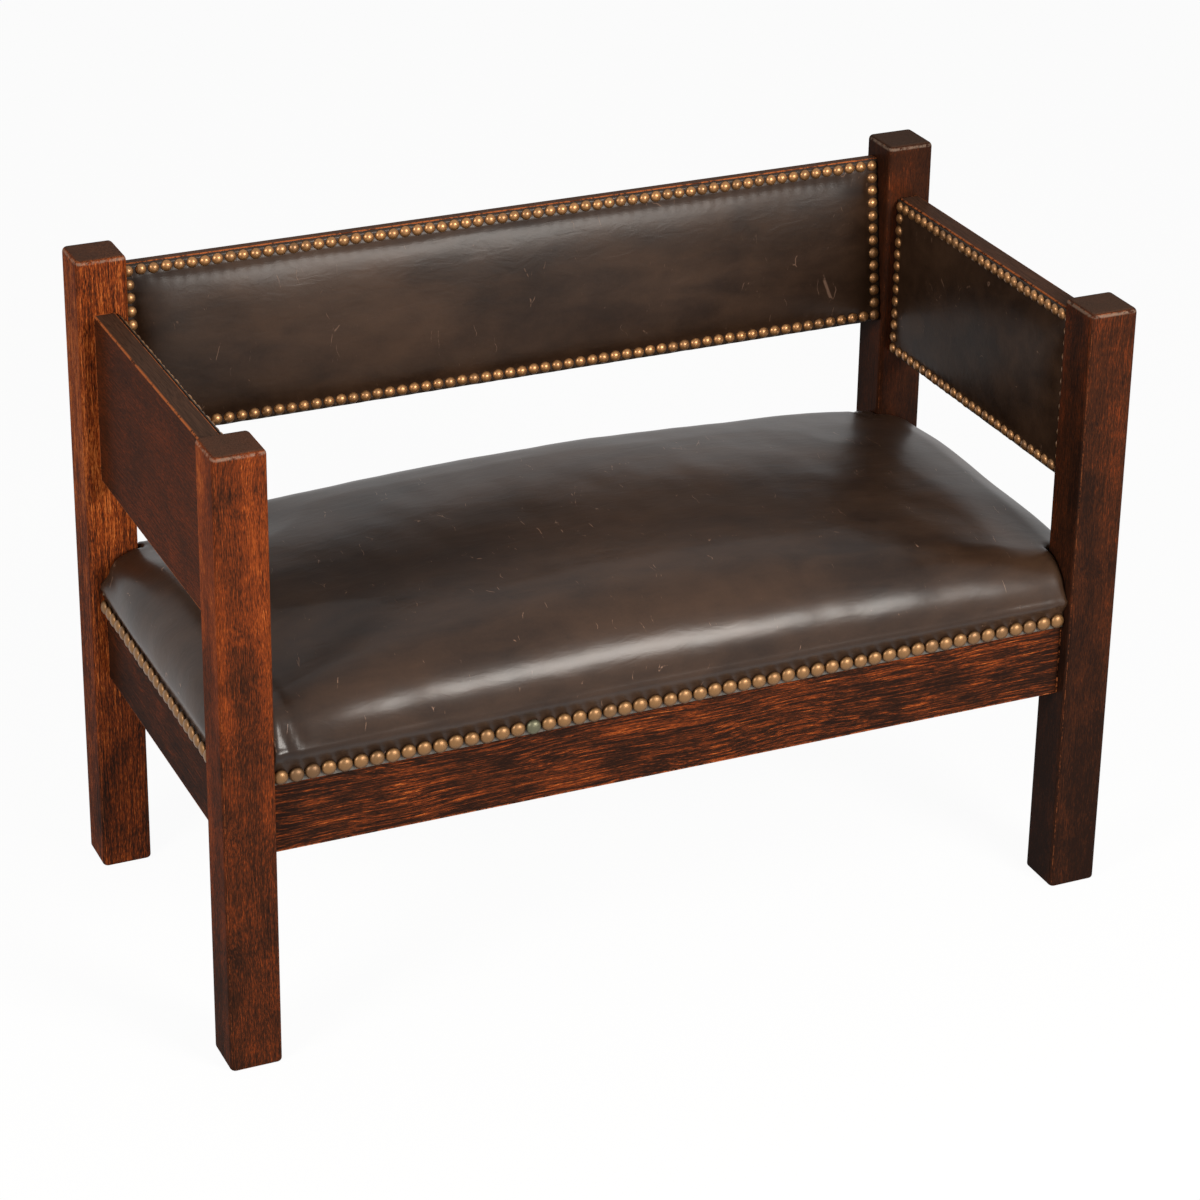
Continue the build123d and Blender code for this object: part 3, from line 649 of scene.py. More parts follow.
def resample(points, count):
    """A polyline cut into equal stretches of its own length."""
    least = 1e-12
    reaches = [0.0]
    for a, b in zip(points, points[1:]):
        reaches.append(reaches[-1] + math.dist(a, b))
    made = []
    k = 0
    for step in range(count + 1):
        reach = reaches[-1] * step / count
        while k < len(points) - 2 and reaches[k + 1] < reach:
            k += 1
        t = (reach - reaches[k]) / max(reaches[k + 1] - reaches[k], least)
        made.append([a + (b - a) * min(t, 1.0) for a, b in zip(points[k], points[k + 1])])
    return made


def smooth(value):
    """Nought to one, easing in and out."""
    value = min(max(value, 0.0), 1.0)
    return value * value * (3.0 - 2.0 * value)


def spread(first, last, pitch):
    """Evenly spaced places from first to last, as near to the pitch as they come."""
    count = max(1, round(abs(last - first) / pitch))
    return [first + (last - first) * step / count for step in range(count + 1)]


def face_matrix(origin, along, outward):
    """The matrix of a face: local x runs along it, local y up it and local z out of it."""
    along = Vector(along).normalized()
    outward = Vector(outward).normalized()
    matrix = Matrix((along, outward.cross(along), outward)).transposed().to_4x4()
    matrix.translation = Vector(origin)
    return matrix


leaning = Vector((0.0, -math.cos(back_lean), math.sin(back_lean)))
back_face_y = back_low.y + math.sin(back_lean) * back_height / 2
back_face_z = (back_low.z + back_high.z) / 2 + math.sin(back_lean) * back_thickness / 2
arm_middle = (arm_bottom + arm_top) / 2
FACES = {
    "back": face_matrix((0, back_face_y, back_face_z), (1, 0, 0), leaning),
    "left_arm": face_matrix((-arm_inner_x, 0, arm_middle), (0, 1, 0), (1, 0, 0)),
    "right_arm": face_matrix((arm_inner_x, 0, arm_middle), (0, -1, 0), (-1, 0, 0)),
    "front_rail": face_matrix((0, -rail_face_y, 0), (1, 0, 0), (0, -1, 0)),
    "back_rail": face_matrix((0, rail_face_y, 0), (-1, 0, 0), (0, 1, 0)),
    "left_rail": face_matrix((-rail_face_x, 0, 0), (0, -1, 0), (-1, 0, 0)),
    "right_rail": face_matrix((rail_face_x, 0, 0), (0, 1, 0), (1, 0, 0)),
}
back_pad_thickness = 0.009
arm_pad_thickness = 0.006
arm_panel = (2 * post_inner_y, arm_top - arm_bottom, arm_pad_thickness)
PANEL_SIZES = {
    "back": (2 * post_inner_x, back_height, back_pad_thickness),
    "left_arm": arm_panel,
    "right_arm": arm_panel,
}


class SETTLE_OT_finish_oak(bpy.types.Operator):
    """Finish the posts, the rails and the boards in fumed oak"""

    bl_idname = "settle.finish_oak"
    bl_label = "Finish the oak"

    # Each piece's grain, mean tone, flecks, streaks, their fineness, smudges, threshold of its wear and seed
    # The mean tones carry painted shade: the right-hand posts are set far darker than the left-hand ones for
    # light that falls off towards the right
    woods = {
        "front_left_post": ("Z", 0.475, 1.1, 0.20, 2.2, 1.3, 0.48, 1.0),
        "front_right_post": ("Z", 0.19, 0.9, 0.20, 2.0, 1.2, 0.48, 4.0),
        "back_left_post": ("Z", 0.61, 1.5, 0.75, 1.5, 1.3, 0.48, 7.0),
        "back_right_post": ("Z", 0.15, 0.6, 0.15, 2.2, 1.0, 0.50, 11.0),
        "front_seat_rail": ("X", 0.315, 1.1, 1.50, 1.5, 1.2, 0.47, 13.0),
        "back_seat_rail": ("X", 0.38, 1.0, 0.80, 1.1, 1.0, 0.47, 17.0),
        "left_seat_rail": ("Y", 0.28, 0.8, 0.40, 1.6, 0.8, 0.48, 19.0),
        "right_seat_rail": ("Y", 0.32, 0.8, 0.50, 1.4, 0.8, 0.48, 23.0),
        "left_arm_board": ("Y", 0.31, 0.65, 0.26, 2.0, 0.45, 0.42, 29.0),
        "right_arm_board": ("Y", 0.38, 0.6, 0.30, 1.8, 0.6, 0.45, 31.0),
    }
    back_dust = 1.7
    back_wood = ("X", 0.42, 0.8, 0.50, 1.6, 0.8, 0.44, 37.0)

    def execute(self, context):
        for name, look in self.woods.items():
            low, high = self.shown(name, *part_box(name))
            dress_node(name, oak_material(name, low, high, look))
        half = (post_inner_x, back_thickness / 2, back_height / 2)
        turn = (back_lean, 0, 0)
        centre = FACES["back"].translation - leaning * back_thickness / 2
        board = oak_material("back_board", centre, centre, self.back_wood, half, turn, self.back_dust)
        dress_node("back_board", board)
        block = fibre_material("raw_maple", (0.52, 0.36, 0.20), (0.40, 0.26, 0.14))
        dress_node("corner_blocks", block)
        return {"FINISHED"}

    @staticmethod
    def shown(name, low, high):
        """The box of a board without its tenons, so that its edges are where they show."""
        low, high = low.copy(), high.copy()
        if name in ("front_seat_rail", "back_seat_rail"):
            low.x, high.x = -post_inner_x, post_inner_x
        elif not name.endswith("post"):
            low.y, high.y = -post_inner_y, post_inner_y
        return low, high


def seat_height(x, y):
    """Height of the crowned seat, before the hide is drawn down at the posts."""
    seat = bpy.context.scene.settle_seat
    slope = math.radians(5.0)
    hip_fade = 0.055
    least_hip = 0.0001
    shoulder = seat.shoulder - seat.end_fall * (x / half_length) ** 2
    radius = (shoulder - seat.bulge_height) / math.cos(slope)
    bulge_y = rail_face_y + seat.front_bulge
    shoulder_y = bulge_y - radius * (1 - math.sin(slope))
    if abs(y) <= shoulder_y:
        height = shoulder + shoulder_y * math.tan(slope / 2) * (1 - (y / shoulder_y) ** 2)
    else:
        over = min(abs(y) - (bulge_y - radius), radius)
        height = seat.bulge_height + math.sqrt(max(radius**2 - over**2, 0.0))
    bulge_x = rail_face_x + seat_hide_thickness + seat.side_bulge
    side = abs(x) - (bulge_x - seat.side_radius)
    if side > 0:
        roll = seat.bulge_height + math.sqrt(max(seat.side_radius**2 - min(side, seat.side_radius) ** 2, 0.0))
        hip = seat.hip * smooth(side / hip_fade) + least_hip
        turned = min(max(0.5 + (height - roll) / (2 * hip), 0.0), 1.0)
        height += (roll - height) * turned - hip * turned * (1 - turned)
    return height


def nail_line(x, y):
    """Height of the large nails under a point of the seat's edge: the line sags at the front left post."""
    nails = bpy.context.scene.settle_nails
    front = smooth(0.5 - y / (2 * post_inner_y)) if abs(y) < rail_face_y else float(y < 0)
    left = 0.5 - x / (2 * post_inner_x)
    return nails.line_height - nails.line_sag * min(max(front * left, 0.0), 1.0)


def edge_curve(face, bulge, reach, height_at, line):
    """Side view of the hide from its flap's lower edge, over the nails and the roll, to a reach inwards."""
    seat = bpy.context.scene.settle_seat
    tucked = 0.008
    steps = 24
    turns = 60
    outer = face + seat_hide_thickness
    points = []
    low = line - seat.flap
    tuck = line + tucked
    for step in range(steps + 1):
        z = low + (seat.bulge_height - low) * step / steps
        out = bulge * smooth((z - tuck) / (seat.bulge_height - tuck))
        points.append((outer + out, z))
    start = outer + bulge
    for step in range(1, turns + 1):
        place = start - (start - reach) * (1 - math.cos(math.pi / 2 * step / turns))
        points.append((place, height_at(place)))
    return points


def seat_rows():
    """Rows of points from front to back over the whole hide, with nothing at the posts' corners."""
    seat = bpy.context.scene.settle_seat
    roll_length = 0.165
    wrap = max(4, round(roll_length / seat.step))
    xs = spread(-limit_x, limit_x, seat.step)
    ys = spread(-limit_y, limit_y, seat.step)
    rows = [[None] * (len(xs) + 2 * wrap) for _ in range(len(ys) + 2 * wrap)]
    for j, x in enumerate(xs):
        for end in (-1, 1):
            line = nail_line(x, end * rail_face_y)
            curve = edge_curve(rail_face_y, seat.front_bulge, limit_y, lambda y: seat_height(x, y), line)
            for k, (y, z) in enumerate(resample(curve, wrap)[:-1]):
                i = k if end < 0 else len(rows) - 1 - k
                rows[i][wrap + j] = Vector((x, end * y, z))
        for i, y in enumerate(ys):
            rows[wrap + i][wrap + j] = Vector((x, y, seat_height(x, y)))
    for i, y in enumerate(ys):
        for end in (-1, 1):
            line = nail_line(end * rail_face_x, y)
            curve = edge_curve(rail_face_x, seat.side_bulge, limit_x, lambda x: seat_height(x, y), line)
            for k, (x, z) in enumerate(resample(curve, wrap)[:-1]):
                j = k if end < 0 else len(rows[0]) - 1 - k
                rows[wrap + i][j] = Vector((end * x, y, z))
    return rows


def post_distance(point):
    """Distance in plan from a point to the nearest post, and that post's signs."""
    side = 1 if point.x > 0 else -1
    end = 1 if point.y > 0 else -1
    dx = max(post_inner_x - abs(point.x), 0.0)
    dy = max(post_inner_y - abs(point.y), 0.0)
    return math.hypot(dx, dy), side, end


def draw_down(piece):
    """Draws the hide down where it is cut and folded in at the posts."""
    # How far the hide is drawn in at each post, by the post's side and end
    pulls = {(-1, 1): 0.011, (-1, -1): 0.007, (1, 1): 0.003, (1, -1): 0.004}
    pull_reach = 0.062
    fold_depth, fold_reach = 0.0055, 0.009
    rise = 0.03
    normals = [vertex.normal.copy() for vertex in piece.data.vertices]
    for vertex, normal in zip(piece.data.vertices, normals):
        distance, side, end = post_distance(vertex.co)
        above = smooth((vertex.co.z - rail_top) / rise)
        rounded = fold_depth * max(0.0, 1 - distance / fold_reach) ** 2
        drawn = pulls[side, end] * math.exp(-((distance / pull_reach) ** 2))
        vertex.co -= normal * (rounded + drawn) * above


def simulate_cloth(piece, pinned, settings):
    """Lets the hide swell under the push of the stuffing, held at the pinned points."""
    group = piece.vertex_groups.new(name="held")
    for index, weight in pinned.items():
        group.add([index], weight, "REPLACE")
    before = [vertex.co.copy() for vertex in piece.data.vertices]
    make_active(piece)
    cloth = piece.modifiers.new("Cloth", "CLOTH")
    stiffness = {"tension": 40, "compression": 40, "shear": 20, "bending": 14}
    for kind, value in stiffness.items():
        setattr(cloth.settings, f"{kind}_stiffness", value)
    cloth.settings.quality = 6
    cloth.settings.mass = 0.4
    cloth.settings.air_damping = 4
    cloth.settings.vertex_group_mass = group.name
    cloth.settings.use_pressure = True
    cloth.settings.uniform_pressure_force = settings.pressure
    cloth.settings.effector_weights.gravity = 0.0
    cloth.collision_settings.use_collision = False
    last_frame = 20
    cloth.point_cache.frame_start = 1
    cloth.point_cache.frame_end = last_frame
    scene = bpy.context.scene
    for number in range(1, last_frame + 1):
        scene.frame_set(number)
    bpy.ops.object.modifier_apply(modifier=cloth.name)
    scene.frame_set(1)
    moves = [vertex.co - start for vertex, start in zip(piece.data.vertices, before)]
    near = [[] for _ in moves]
    for edge in piece.data.edges:
        a, b = edge.vertices
        near[a].append(b)
        near[b].append(a)
    for _ in range(settings.evening):
        evened = []
        for move, around in zip(moves, near):
            evened.append(sum((moves[k] for k in around), move) / (len(around) + 1))
        moves = [move if k in pinned else evened[k] for k, move in enumerate(moves)]
    for vertex, start, move in zip(piece.data.vertices, before, moves):
        vertex.co = start + move * min(1.0, settings.cap / max(move.length, settings.cap))
    piece.vertex_groups.clear()


class SETTLE_OT_upholster_seat(bpy.types.Operator):
    """Lay the hide over the springs, let it swell and nail it down"""

    bl_idname = "settle.upholster_seat"
    bl_label = "Upholster the seat"

    def execute(self, context):
        held_over_line, held_at_post = 0.004, 0.0015
        cut_start, cut_fade = 0.0045, 0.003
        hide = grid_piece("seat_hide", seat_rows())
        open_mesh(hide)
        close_mesh()
        if hide.data.vertices[len(hide.data.vertices) // 2].normal.z < 0:
            hide.data.flip_normals()
        draw_down(hide)
        held = {}
        for vertex in hide.data.vertices:
            distance = post_distance(vertex.co)[0]
            line = nail_line(vertex.co.x, vertex.co.y)
            if vertex.co.z < line + held_over_line or distance < held_at_post:
                held[vertex.index] = 1.0
        simulate_cloth(hide, held, context.scene.settle_seat)
        self.wrinkle(hide)
        stuffing = self.stuff(hide)
        paint(hide, "cut_edge", lambda co: smooth((nail_line(co.x, co.y) - co.z - cut_start) / cut_fade))
        apply_modifier(hide, "SOLIDIFY", thickness=seat_hide_thickness, offset=-1.0, use_even_offset=False)
        hides = context.scene.settle_hide
        leather = hide_material("seat_hide", 3.0, 0.5, 0.8, hides.seat_wax, hides.seat_cut)
        keep_piece(hide, leather, "seat_leather", "seat_leather")
        hair = fibre_material("hair_stuffing", (0.30, 0.22, 0.14), (0.10, 0.07, 0.045))
        keep_piece(stuffing, hair, "stuffing", "seat_stuffing")
        return {"FINISHED"}

    @staticmethod
    def wrinkle(hide):
        """Adds the waves of a sat-on hide and the folds beside the posts."""
        # Each wave: how often it comes along and across the seat, its seed and its height
        waves = ((3.6, 5, 0, 0.0028), (11, 9, 5, 0.0011), (27, 17, 9, 0.0006))
        # Each fold: its post's side and end, distance from it, lean, width, depth, lowest and highest point
        folds = (
            (-1, -1, 0.016, -0.20, 0.0060, 0.0028, 0.392, 0.470),
            (-1, -1, 0.034, -0.35, 0.0080, 0.0016, 0.410, 0.500),
            (1, -1, 0.012, 0.10, 0.0045, 0.0014, 0.395, 0.440),
            (1, 1, 0.018, -0.15, 0.0055, 0.0026, 0.400, 0.490),
            (1, 1, 0.038, -0.25, 0.0070, 0.0018, 0.420, 0.510),
            (-1, 1, 0.020, -0.15, 0.0060, 0.0024, 0.400, 0.490),
        )
        free_height = 0.035
        fold_strip = 0.03
        lean_height = 0.43
        fade_in, fade_out = 0.018, 0.035
        for vertex, normal in zip(hide.data.vertices, [v.normal.copy() for v in hide.data.vertices]):
            point = vertex.co
            shift = 0.0
            for along, across, seed, height in waves:
                place = Vector((point.x * along, point.y * across, point.z * across + seed))
                shift += noise.noise(place) * height
            shift *= smooth((point.z - nail_line(point.x, point.y)) / free_height)
            for side, end, place, lean, width, depth, low, high in folds:
                if point.x * side < 0 or point.y * end < post_inner_y - fold_strip:
                    continue
                centre = place + lean * (point.z - lean_height)
                valley = math.exp(-(((post_inner_x - abs(point.x) - centre) / width) ** 2))
                reach = smooth((point.z - low) / fade_in) * smooth((high - point.z) / fade_out)
                shift -= depth * valley * reach
            vertex.co = point + normal * shift

    @staticmethod
    def stuff(hide):
        """The stuffing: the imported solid's form, hollow over the springs, eased in to lie under the hide."""
        stuffing, mesh = copy_node("seat_stuffing", "hair_stuffing")
        longest = 0.022
        for _ in range(5):
            edges = [edge for edge in mesh.edges if edge.calc_length() > longest]
            if edges:
                bmesh.ops.subdivide_edges(mesh, edges=edges, cuts=1)
                bmesh.ops.triangulate(mesh, faces=mesh.faces)
        inset = seat_hide_thickness + under_hide
        near_hide, near_post, overhead = 0.05, 0.030, 1.0
        pushed, pressed, lowered = 0.985, 0.99, 0.12
        cover = BVHTree.FromObject(hide, bpy.context.evaluated_depsgraph_get())
        for vertex in mesh.verts:
            near, normal, _, distance = cover.find_nearest(vertex.co)
            height = (vertex.co - near).dot(normal)
            if height > -inset and distance < near_hide:
                vertex.co -= pushed * (height + inset) * normal
            top = cover.ray_cast(Vector((vertex.co.x, vertex.co.y, overhead)), Vector((0, 0, -1)))[0]
            over = 0.0 if top is None else vertex.co.z - (top.z - 1.5 * inset)
            if over > 0:
                vertex.co.z -= pressed * over
            if post_distance(vertex.co)[0] < near_post and vertex.co.z > rail_top:
                vertex.co.z = rail_top + lowered * (vertex.co.z - rail_top)
        store_mesh(mesh, stuffing)
        stuffing.data.shade_flat()
        return stuffing


def panel_relief(u, v, size):
    """Height of a panel's hide over its board: a flat border, a rise inside the nails, then a pillow."""
    nails = bpy.context.scene.settle_nails
    wide, tall, pad = size
    depth = min(wide / 2 - abs(u), tall / 2 - abs(v))
    margin, end_reach, fullness = 0.0165, 0.055, 0.0024
    end_rise = min(max((wide / 2 - abs(u) - margin) / end_reach, 0.0), 1.0)
    side_rise = min(max((tall / 2 - abs(v) - margin) / (tall / 2 - margin), 0.0), 1.0)
    pillow = (1 - (1 - side_rise) ** 2.6) ** 0.56 * (1 - (1 - end_rise) ** 2.4) ** 0.5
    relief = panel_hide_thickness + (pad + fullness) * pillow
    # Puckers between the nails, strongest in the groove
    along = u if tall / 2 - abs(v) < wide / 2 - abs(u) else v
    span = (wide if along is u else tall) - 2 * nails.small_edge
    pitch = span / max(1, round(span / nails.small_pitch))
    phase = math.cos(math.tau * (along + span / 2) / pitch)
    groove, groove_reach, pucker_height = 0.021, 0.008, 0.00018
    pucker_start, pucker_fade = 0.012, 0.006
    pucker = math.exp(-(((depth - groove) / groove_reach) ** 2))
    relief -= pucker_height * phase * pucker * smooth((depth - pucker_start) / pucker_fade)
    # The hide dips under each nail and stands up a little between them
    ridge_reach, ridge_height = 0.006, 0.00035
    ridge = math.exp(-(((depth - nails.small_edge) / ridge_reach) ** 2))
    relief += ridge_height * (1 - phase) * ridge
    return relief


class SETTLE_OT_upholster_panels(bpy.types.Operator):
    """Lay the hides and the pads of the back and the arms"""

    bl_idname = "settle.upholster_panels"
    bl_label = "Upholster the back and the arms"

    edge = 0.0012
    step = 0.0042
    # Each hide's seed, share of faded hide and strength of its scratches
    looks = {"back": (11.0, 0.45, 0.35), "left_arm": (17.0, 0.35, 0.3), "right_arm": (23.0, 0.35, 0.3)}

    def execute(self, context):
        for name, size in PANEL_SIZES.items():
            hide = self.lay_hide(name, size)
            pad = self.lay_pad(name, size)
            seed, faded, scratches = self.looks[name]
            hides = context.scene.settle_hide
            wax = hides.back_wax if name == "back" else hides.arm_wax
            leather = hide_material(f"{name}_hide", seed, faded, scratches, wax, hides.panel_cut)
            keep_piece(hide, leather, "panel_leather", f"{name}_leather")
            wadding = fibre_material(f"{name}_wadding", (0.62, 0.56, 0.46), (0.44, 0.38, 0.30))
            keep_piece(pad, wadding, "pad_felt", f"{name}_pad")
        return {"FINISHED"}

    def lay_hide(self, name, size):
        """A hide with a slightly wavy cut edge, raised by its pad."""
        wide, tall, pad = size
        stray, swell_height, padded_from, padded_fade = 0.0005, 0.0008, 0.004, 0.006
        cut_width, cut_fade = 0.0042, 0.0022
        reach_u = wide / 2 - self.edge
        reach_v = tall / 2 - self.edge
        face = FACES[name]
        rows = []
        for v in spread(-reach_v, reach_v, self.step):
            row = []
            for u in spread(-reach_u, reach_u, self.step):
                relief = panel_relief(u, v, size)
                wander = stray * noise.noise(Vector((u * 45, v * 45, pad * 900)))
                border = smooth((max(abs(u) / reach_u, abs(v) / reach_v) - 0.9) / 0.1)
                padded = smooth((relief - padded_from) / padded_fade)
                swell = swell_height * noise.noise(Vector((u * 9, v * 12, 3.0))) * padded
                row.append(face @ Vector((u + wander * border, v + wander * border, relief + swell)))
            rows.append(row)
        hide = grid_piece(f"{name}_hide", rows)
        inverse = face.inverted()

        def cut_edge(point):
            local = inverse @ point
            depth = min(wide / 2 - abs(local.x), tall / 2 - abs(local.y))
            return smooth((cut_width - depth) / cut_fade)

        paint(hide, "cut_edge", cut_edge)
        apply_modifier(hide, "SOLIDIFY", thickness=panel_hide_thickness, offset=-1.0)
        return hide

    def lay_pad(self, name, size):
        """The pad under a hide, from the board's face up to just under the hide."""
        wide, tall, _ = size
        margin, step, lift = 0.018, 0.009, 0.0002
        gap, least = 0.0013, 0.0004
        face = FACES[name]
        rows = []
        us = spread(margin - wide / 2, wide / 2 - margin, step)
        vs = spread(margin - tall / 2, tall / 2 - margin, step)
        for v in vs:
            row = []
            for u in us:
                rim = u in (us[0], us[-1]) or v in (vs[0], vs[-1])
                inner = max(panel_relief(u, v, size) - panel_hide_thickness - gap, least)
                row.append(face @ Vector((u, v, lift if rim else inner)))
            rows.append(row)
        pad = grid_piece(f"{name}_wadding", rows)
        mesh = bmesh.new()
        mesh.from_mesh(pad.data)
        # A corner cell is split from its corner inwards: the other way, half of it would lie on the underside
        for corner in [vert for vert in mesh.verts if len(vert.link_faces) == 1]:
            cell = list(corner.link_faces[0].verts)
            opposite = cell[(cell.index(corner) + 2) % 4]
            bmesh.ops.connect_verts(mesh, verts=[corner, opposite])
        store_mesh(mesh, pad)
        open_mesh(pad, "DESELECT")
        bpy.ops.mesh.select_non_manifold()
        bpy.ops.mesh.edge_face_add()
        close_mesh()
        face_outwards(pad)
        return pad


# The one corroded nail, counted from the left of the front rail
corroded_row = "front_rail_nail_heads"
corroded_place = 16


def make_nail(name, diameter, height):
    """One domed nail head, its flat underside at the origin."""
    deselect()
    bpy.ops.mesh.primitive_uv_sphere_add(segments=16, ring_count=8, radius=diameter / 2, location=(0, 0, 0))
    nail = bpy.context.active_object
    nail.name = name
    open_mesh(nail)
    bpy.ops.mesh.bisect(plane_co=(0, 0, 0), plane_no=(0, 0, 1), use_fill=True, clear_inner=True)
    bpy.ops.mesh.select_all(action="SELECT")
    bpy.ops.transform.resize(value=(1, 1, 2 * height / diameter))
    close_mesh()
    nail.data.shade_smooth()
    return nail


class SETTLE_OT_drive_nails(bpy.types.Operator):
    """Drive the small nails of the back and the arms and the large nails of the rails"""

    bl_idname = "settle.drive_nails"
    bl_label = "Drive the nails"

    gap = 0.0001
    stray_along, stray_up = 0.0002, 0.0005
    # The least and the most that a nail is stretched along each axis
    squeezes = ((0.97, 1.03), (0.97, 1.03), (0.92, 1.08))
    # A nail's tone runs from bright to brown, few are dark, and the highest tone stands for verdigris
    common_tone, dark_tone, corroded_tone = 0.75, 1.0, 2.0
    dark_share = 0.04

    def execute(self, context):
        nails = context.scene.settle_nails
        chance = random.Random(11)
        small = make_nail("small_nail", nails.small_diameter, nails.small_height)
        large = make_nail("large_nail", nails.large_diameter, nails.large_height)
        small_brass = brass_material("rubbed_brass", nails.rubbed, 0.31, 0.60)
        large_brass = brass_material("dull_brass", nails.dull, 0.40, 0.60)
        small_tilt, large_tilt = 0.02, 0.035
        for name, (wide, tall, _) in PANEL_SIZES.items():
            places = self.border(wide, tall, nails)
            lift = panel_hide_thickness + self.gap
            piece = self.drive(small, f"{name}_nail_heads", FACES[name], places, lift, chance, small_tilt)
            keep_piece(piece, small_brass, "small_nail_brass", f"{name}_nails")
        for name in ("front", "back", "left", "right"):
            span = post_inner_x if name in ("front", "back") else post_inner_y
            face = FACES[f"{name}_rail"]
            places = []
            for u in spread(nails.large_edge - span, span - nails.large_edge, nails.large_pitch):
                spot = face @ Vector((u, 0, 0))
                places.append((u, nail_line(spot.x, spot.y)))
            lift = seat_hide_thickness + self.gap
            piece = self.drive(large, f"{name}_rail_nail_heads", face, places, lift, chance, large_tilt)
            keep_piece(piece, large_brass, "large_nail_brass", f"{name}_rail_nails")
        for template in (small, large):
            bpy.data.objects.remove(template)
        return {"FINISHED"}

    @staticmethod
    def border(wide, tall, nails):
        """Nail places round a panel: both long rows, then the columns between them."""
        right = wide / 2 - nails.small_edge
        top = tall / 2 - nails.small_edge
        rows = [(u, v) for v in (top, -top) for u in spread(-right, right, nails.small_pitch)]
        columns = [(u, v) for u in (-right, right) for v in spread(-top, top, nails.small_pitch)[1:-1]]
        return rows + columns

    def drive(self, template, name, face, places, lift, chance, tilt):
        """Copies a nail to each place, each a little turned, tilted, squeezed and toned on its own."""
        copies = []
        for u, v in places:
            nail = bpy.data.objects.new(name, template.data.copy())
            bpy.context.scene.collection.objects.link(nail)
            squeeze = [chance.uniform(*reach) for reach in self.squeezes]
            tips = [chance.uniform(-tilt, tilt) for _ in range(2)]
            lean = Euler((*tips, chance.uniform(0, math.tau)))
            along, up = [chance.uniform(-stray, stray) for stray in (self.stray_along, self.stray_up)]
            spot = Matrix.Translation(Vector((u, v, lift)) + Vector((along, up, 0)))
            own = self.dark_tone
            if chance.random() > self.dark_share:
                own = chance.uniform(0.0, self.common_tone)
            if name == corroded_row and len(copies) == corroded_place:
                own = self.corroded_tone
            foot = max(vertex.co.z for vertex in nail.data.vertices) * 0.25
            paint(nail, "nail_tone", lambda co: own)
            paint(nail, "nail_foot", lambda co: smooth(1.0 - co.z / foot))
            nail.data.transform(face @ spot @ lean.to_matrix().to_4x4() @ Matrix.Diagonal((*squeeze, 1)))
            copies.append(nail)
        deselect()
        for nail in copies:
            nail.select_set(True)
        bpy.context.view_layer.objects.active = copies[0]
        bpy.ops.object.join()
        piece = bpy.context.active_object
        piece.name = name
        return piece


class SETTLE_OT_fit_underside(bpy.types.Operator):
    """Finish the springs, the webbing, the hessian, the tacks and the dust cover"""

    bl_idname = "settle.fit_underside"
    bl_label = "Fit the underside"

    # From thread to thread of each cloth
    jute_pitch, hessian_pitch, cambric_pitch = 0.0022, 0.0018, 0.0011

    def execute(self, context):
        jute = woven_material("jute_webbing", (0.36, 0.27, 0.16), (0.17, 0.12, 0.07), self.jute_pitch)
        hessian = woven_material("hessian", (0.33, 0.24, 0.13), (0.09, 0.06, 0.03), self.hessian_pitch)
        for name in ("lengthwise_webbing", "crosswise_webbing"):
            dress_node(name, jute)
        dress_node("spring_hessian", hessian)
        wire = steel_material("spring_wire", (0.20, 0.20, 0.21), 0.35)
        keep_piece(self.thin_springs(), wire, "spring_steel", "seat_springs")
        blued = steel_material("blued_steel", (0.05, 0.05, 0.06), 0.4)
        for name in ("webbing_tacks", "dust_cover_tacks", "corner_block_screws"):
            dress_node(name, blued)
        black, blackest = (0.022, 0.021, 0.020), (0.008, 0.008, 0.008)
        cambric = woven_material("black_cambric", black, blackest, self.cambric_pitch)
        cover = self.lay_dust_cover()
        keep_piece(cover, cambric, "dust_cloth", "dust_cover")
        return {"FINISHED"}

    @staticmethod
    def thin_springs():
        """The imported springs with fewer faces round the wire."""
        springs, mesh = copy_node("seat_springs", "coil_springs")
        store_mesh(mesh, springs)
        apply_modifier(springs, "DECIMATE", ratio=0.30)
        springs.data.shade_smooth()
        return springs

    @staticmethod
    def lay_dust_cover():
        """A cloth stretched under the webbing, which sags a little between its tacks."""
        step, gap, sag, ripple_height, sag_reach = 0.012, 0.0001, 0.0022, 0.0012, 0.12
        xs = [dust_low.x] + spread(-limit_x, limit_x, step) + [dust_high.x]
        ys = [dust_low.y] + spread(-limit_y, limit_y, step) + [dust_high.y]
        rows = []
        for y in ys:
            row = []
            for x in xs:
                if abs(x) > limit_x and abs(y) > limit_y:
                    row.append(None)
                    continue
                inward = smooth(min(dust_high.x - abs(x), dust_high.y - abs(y)) / sag_reach)
                ripple = noise.noise(Vector((x * 7, y * 9, 1.0))) * ripple_height
                row.append(Vector((x, y, dust_high.z - gap - inward * (sag + ripple))))
            rows.append(row)
        cover = grid_piece("cambric_cover", rows)
        if cover.data.polygons[0].normal.z < 0:
            cover.data.flip_normals()
        apply_modifier(cover, "SOLIDIFY", thickness=dust_high.z - dust_low.z, offset=-1.0)
        return cover


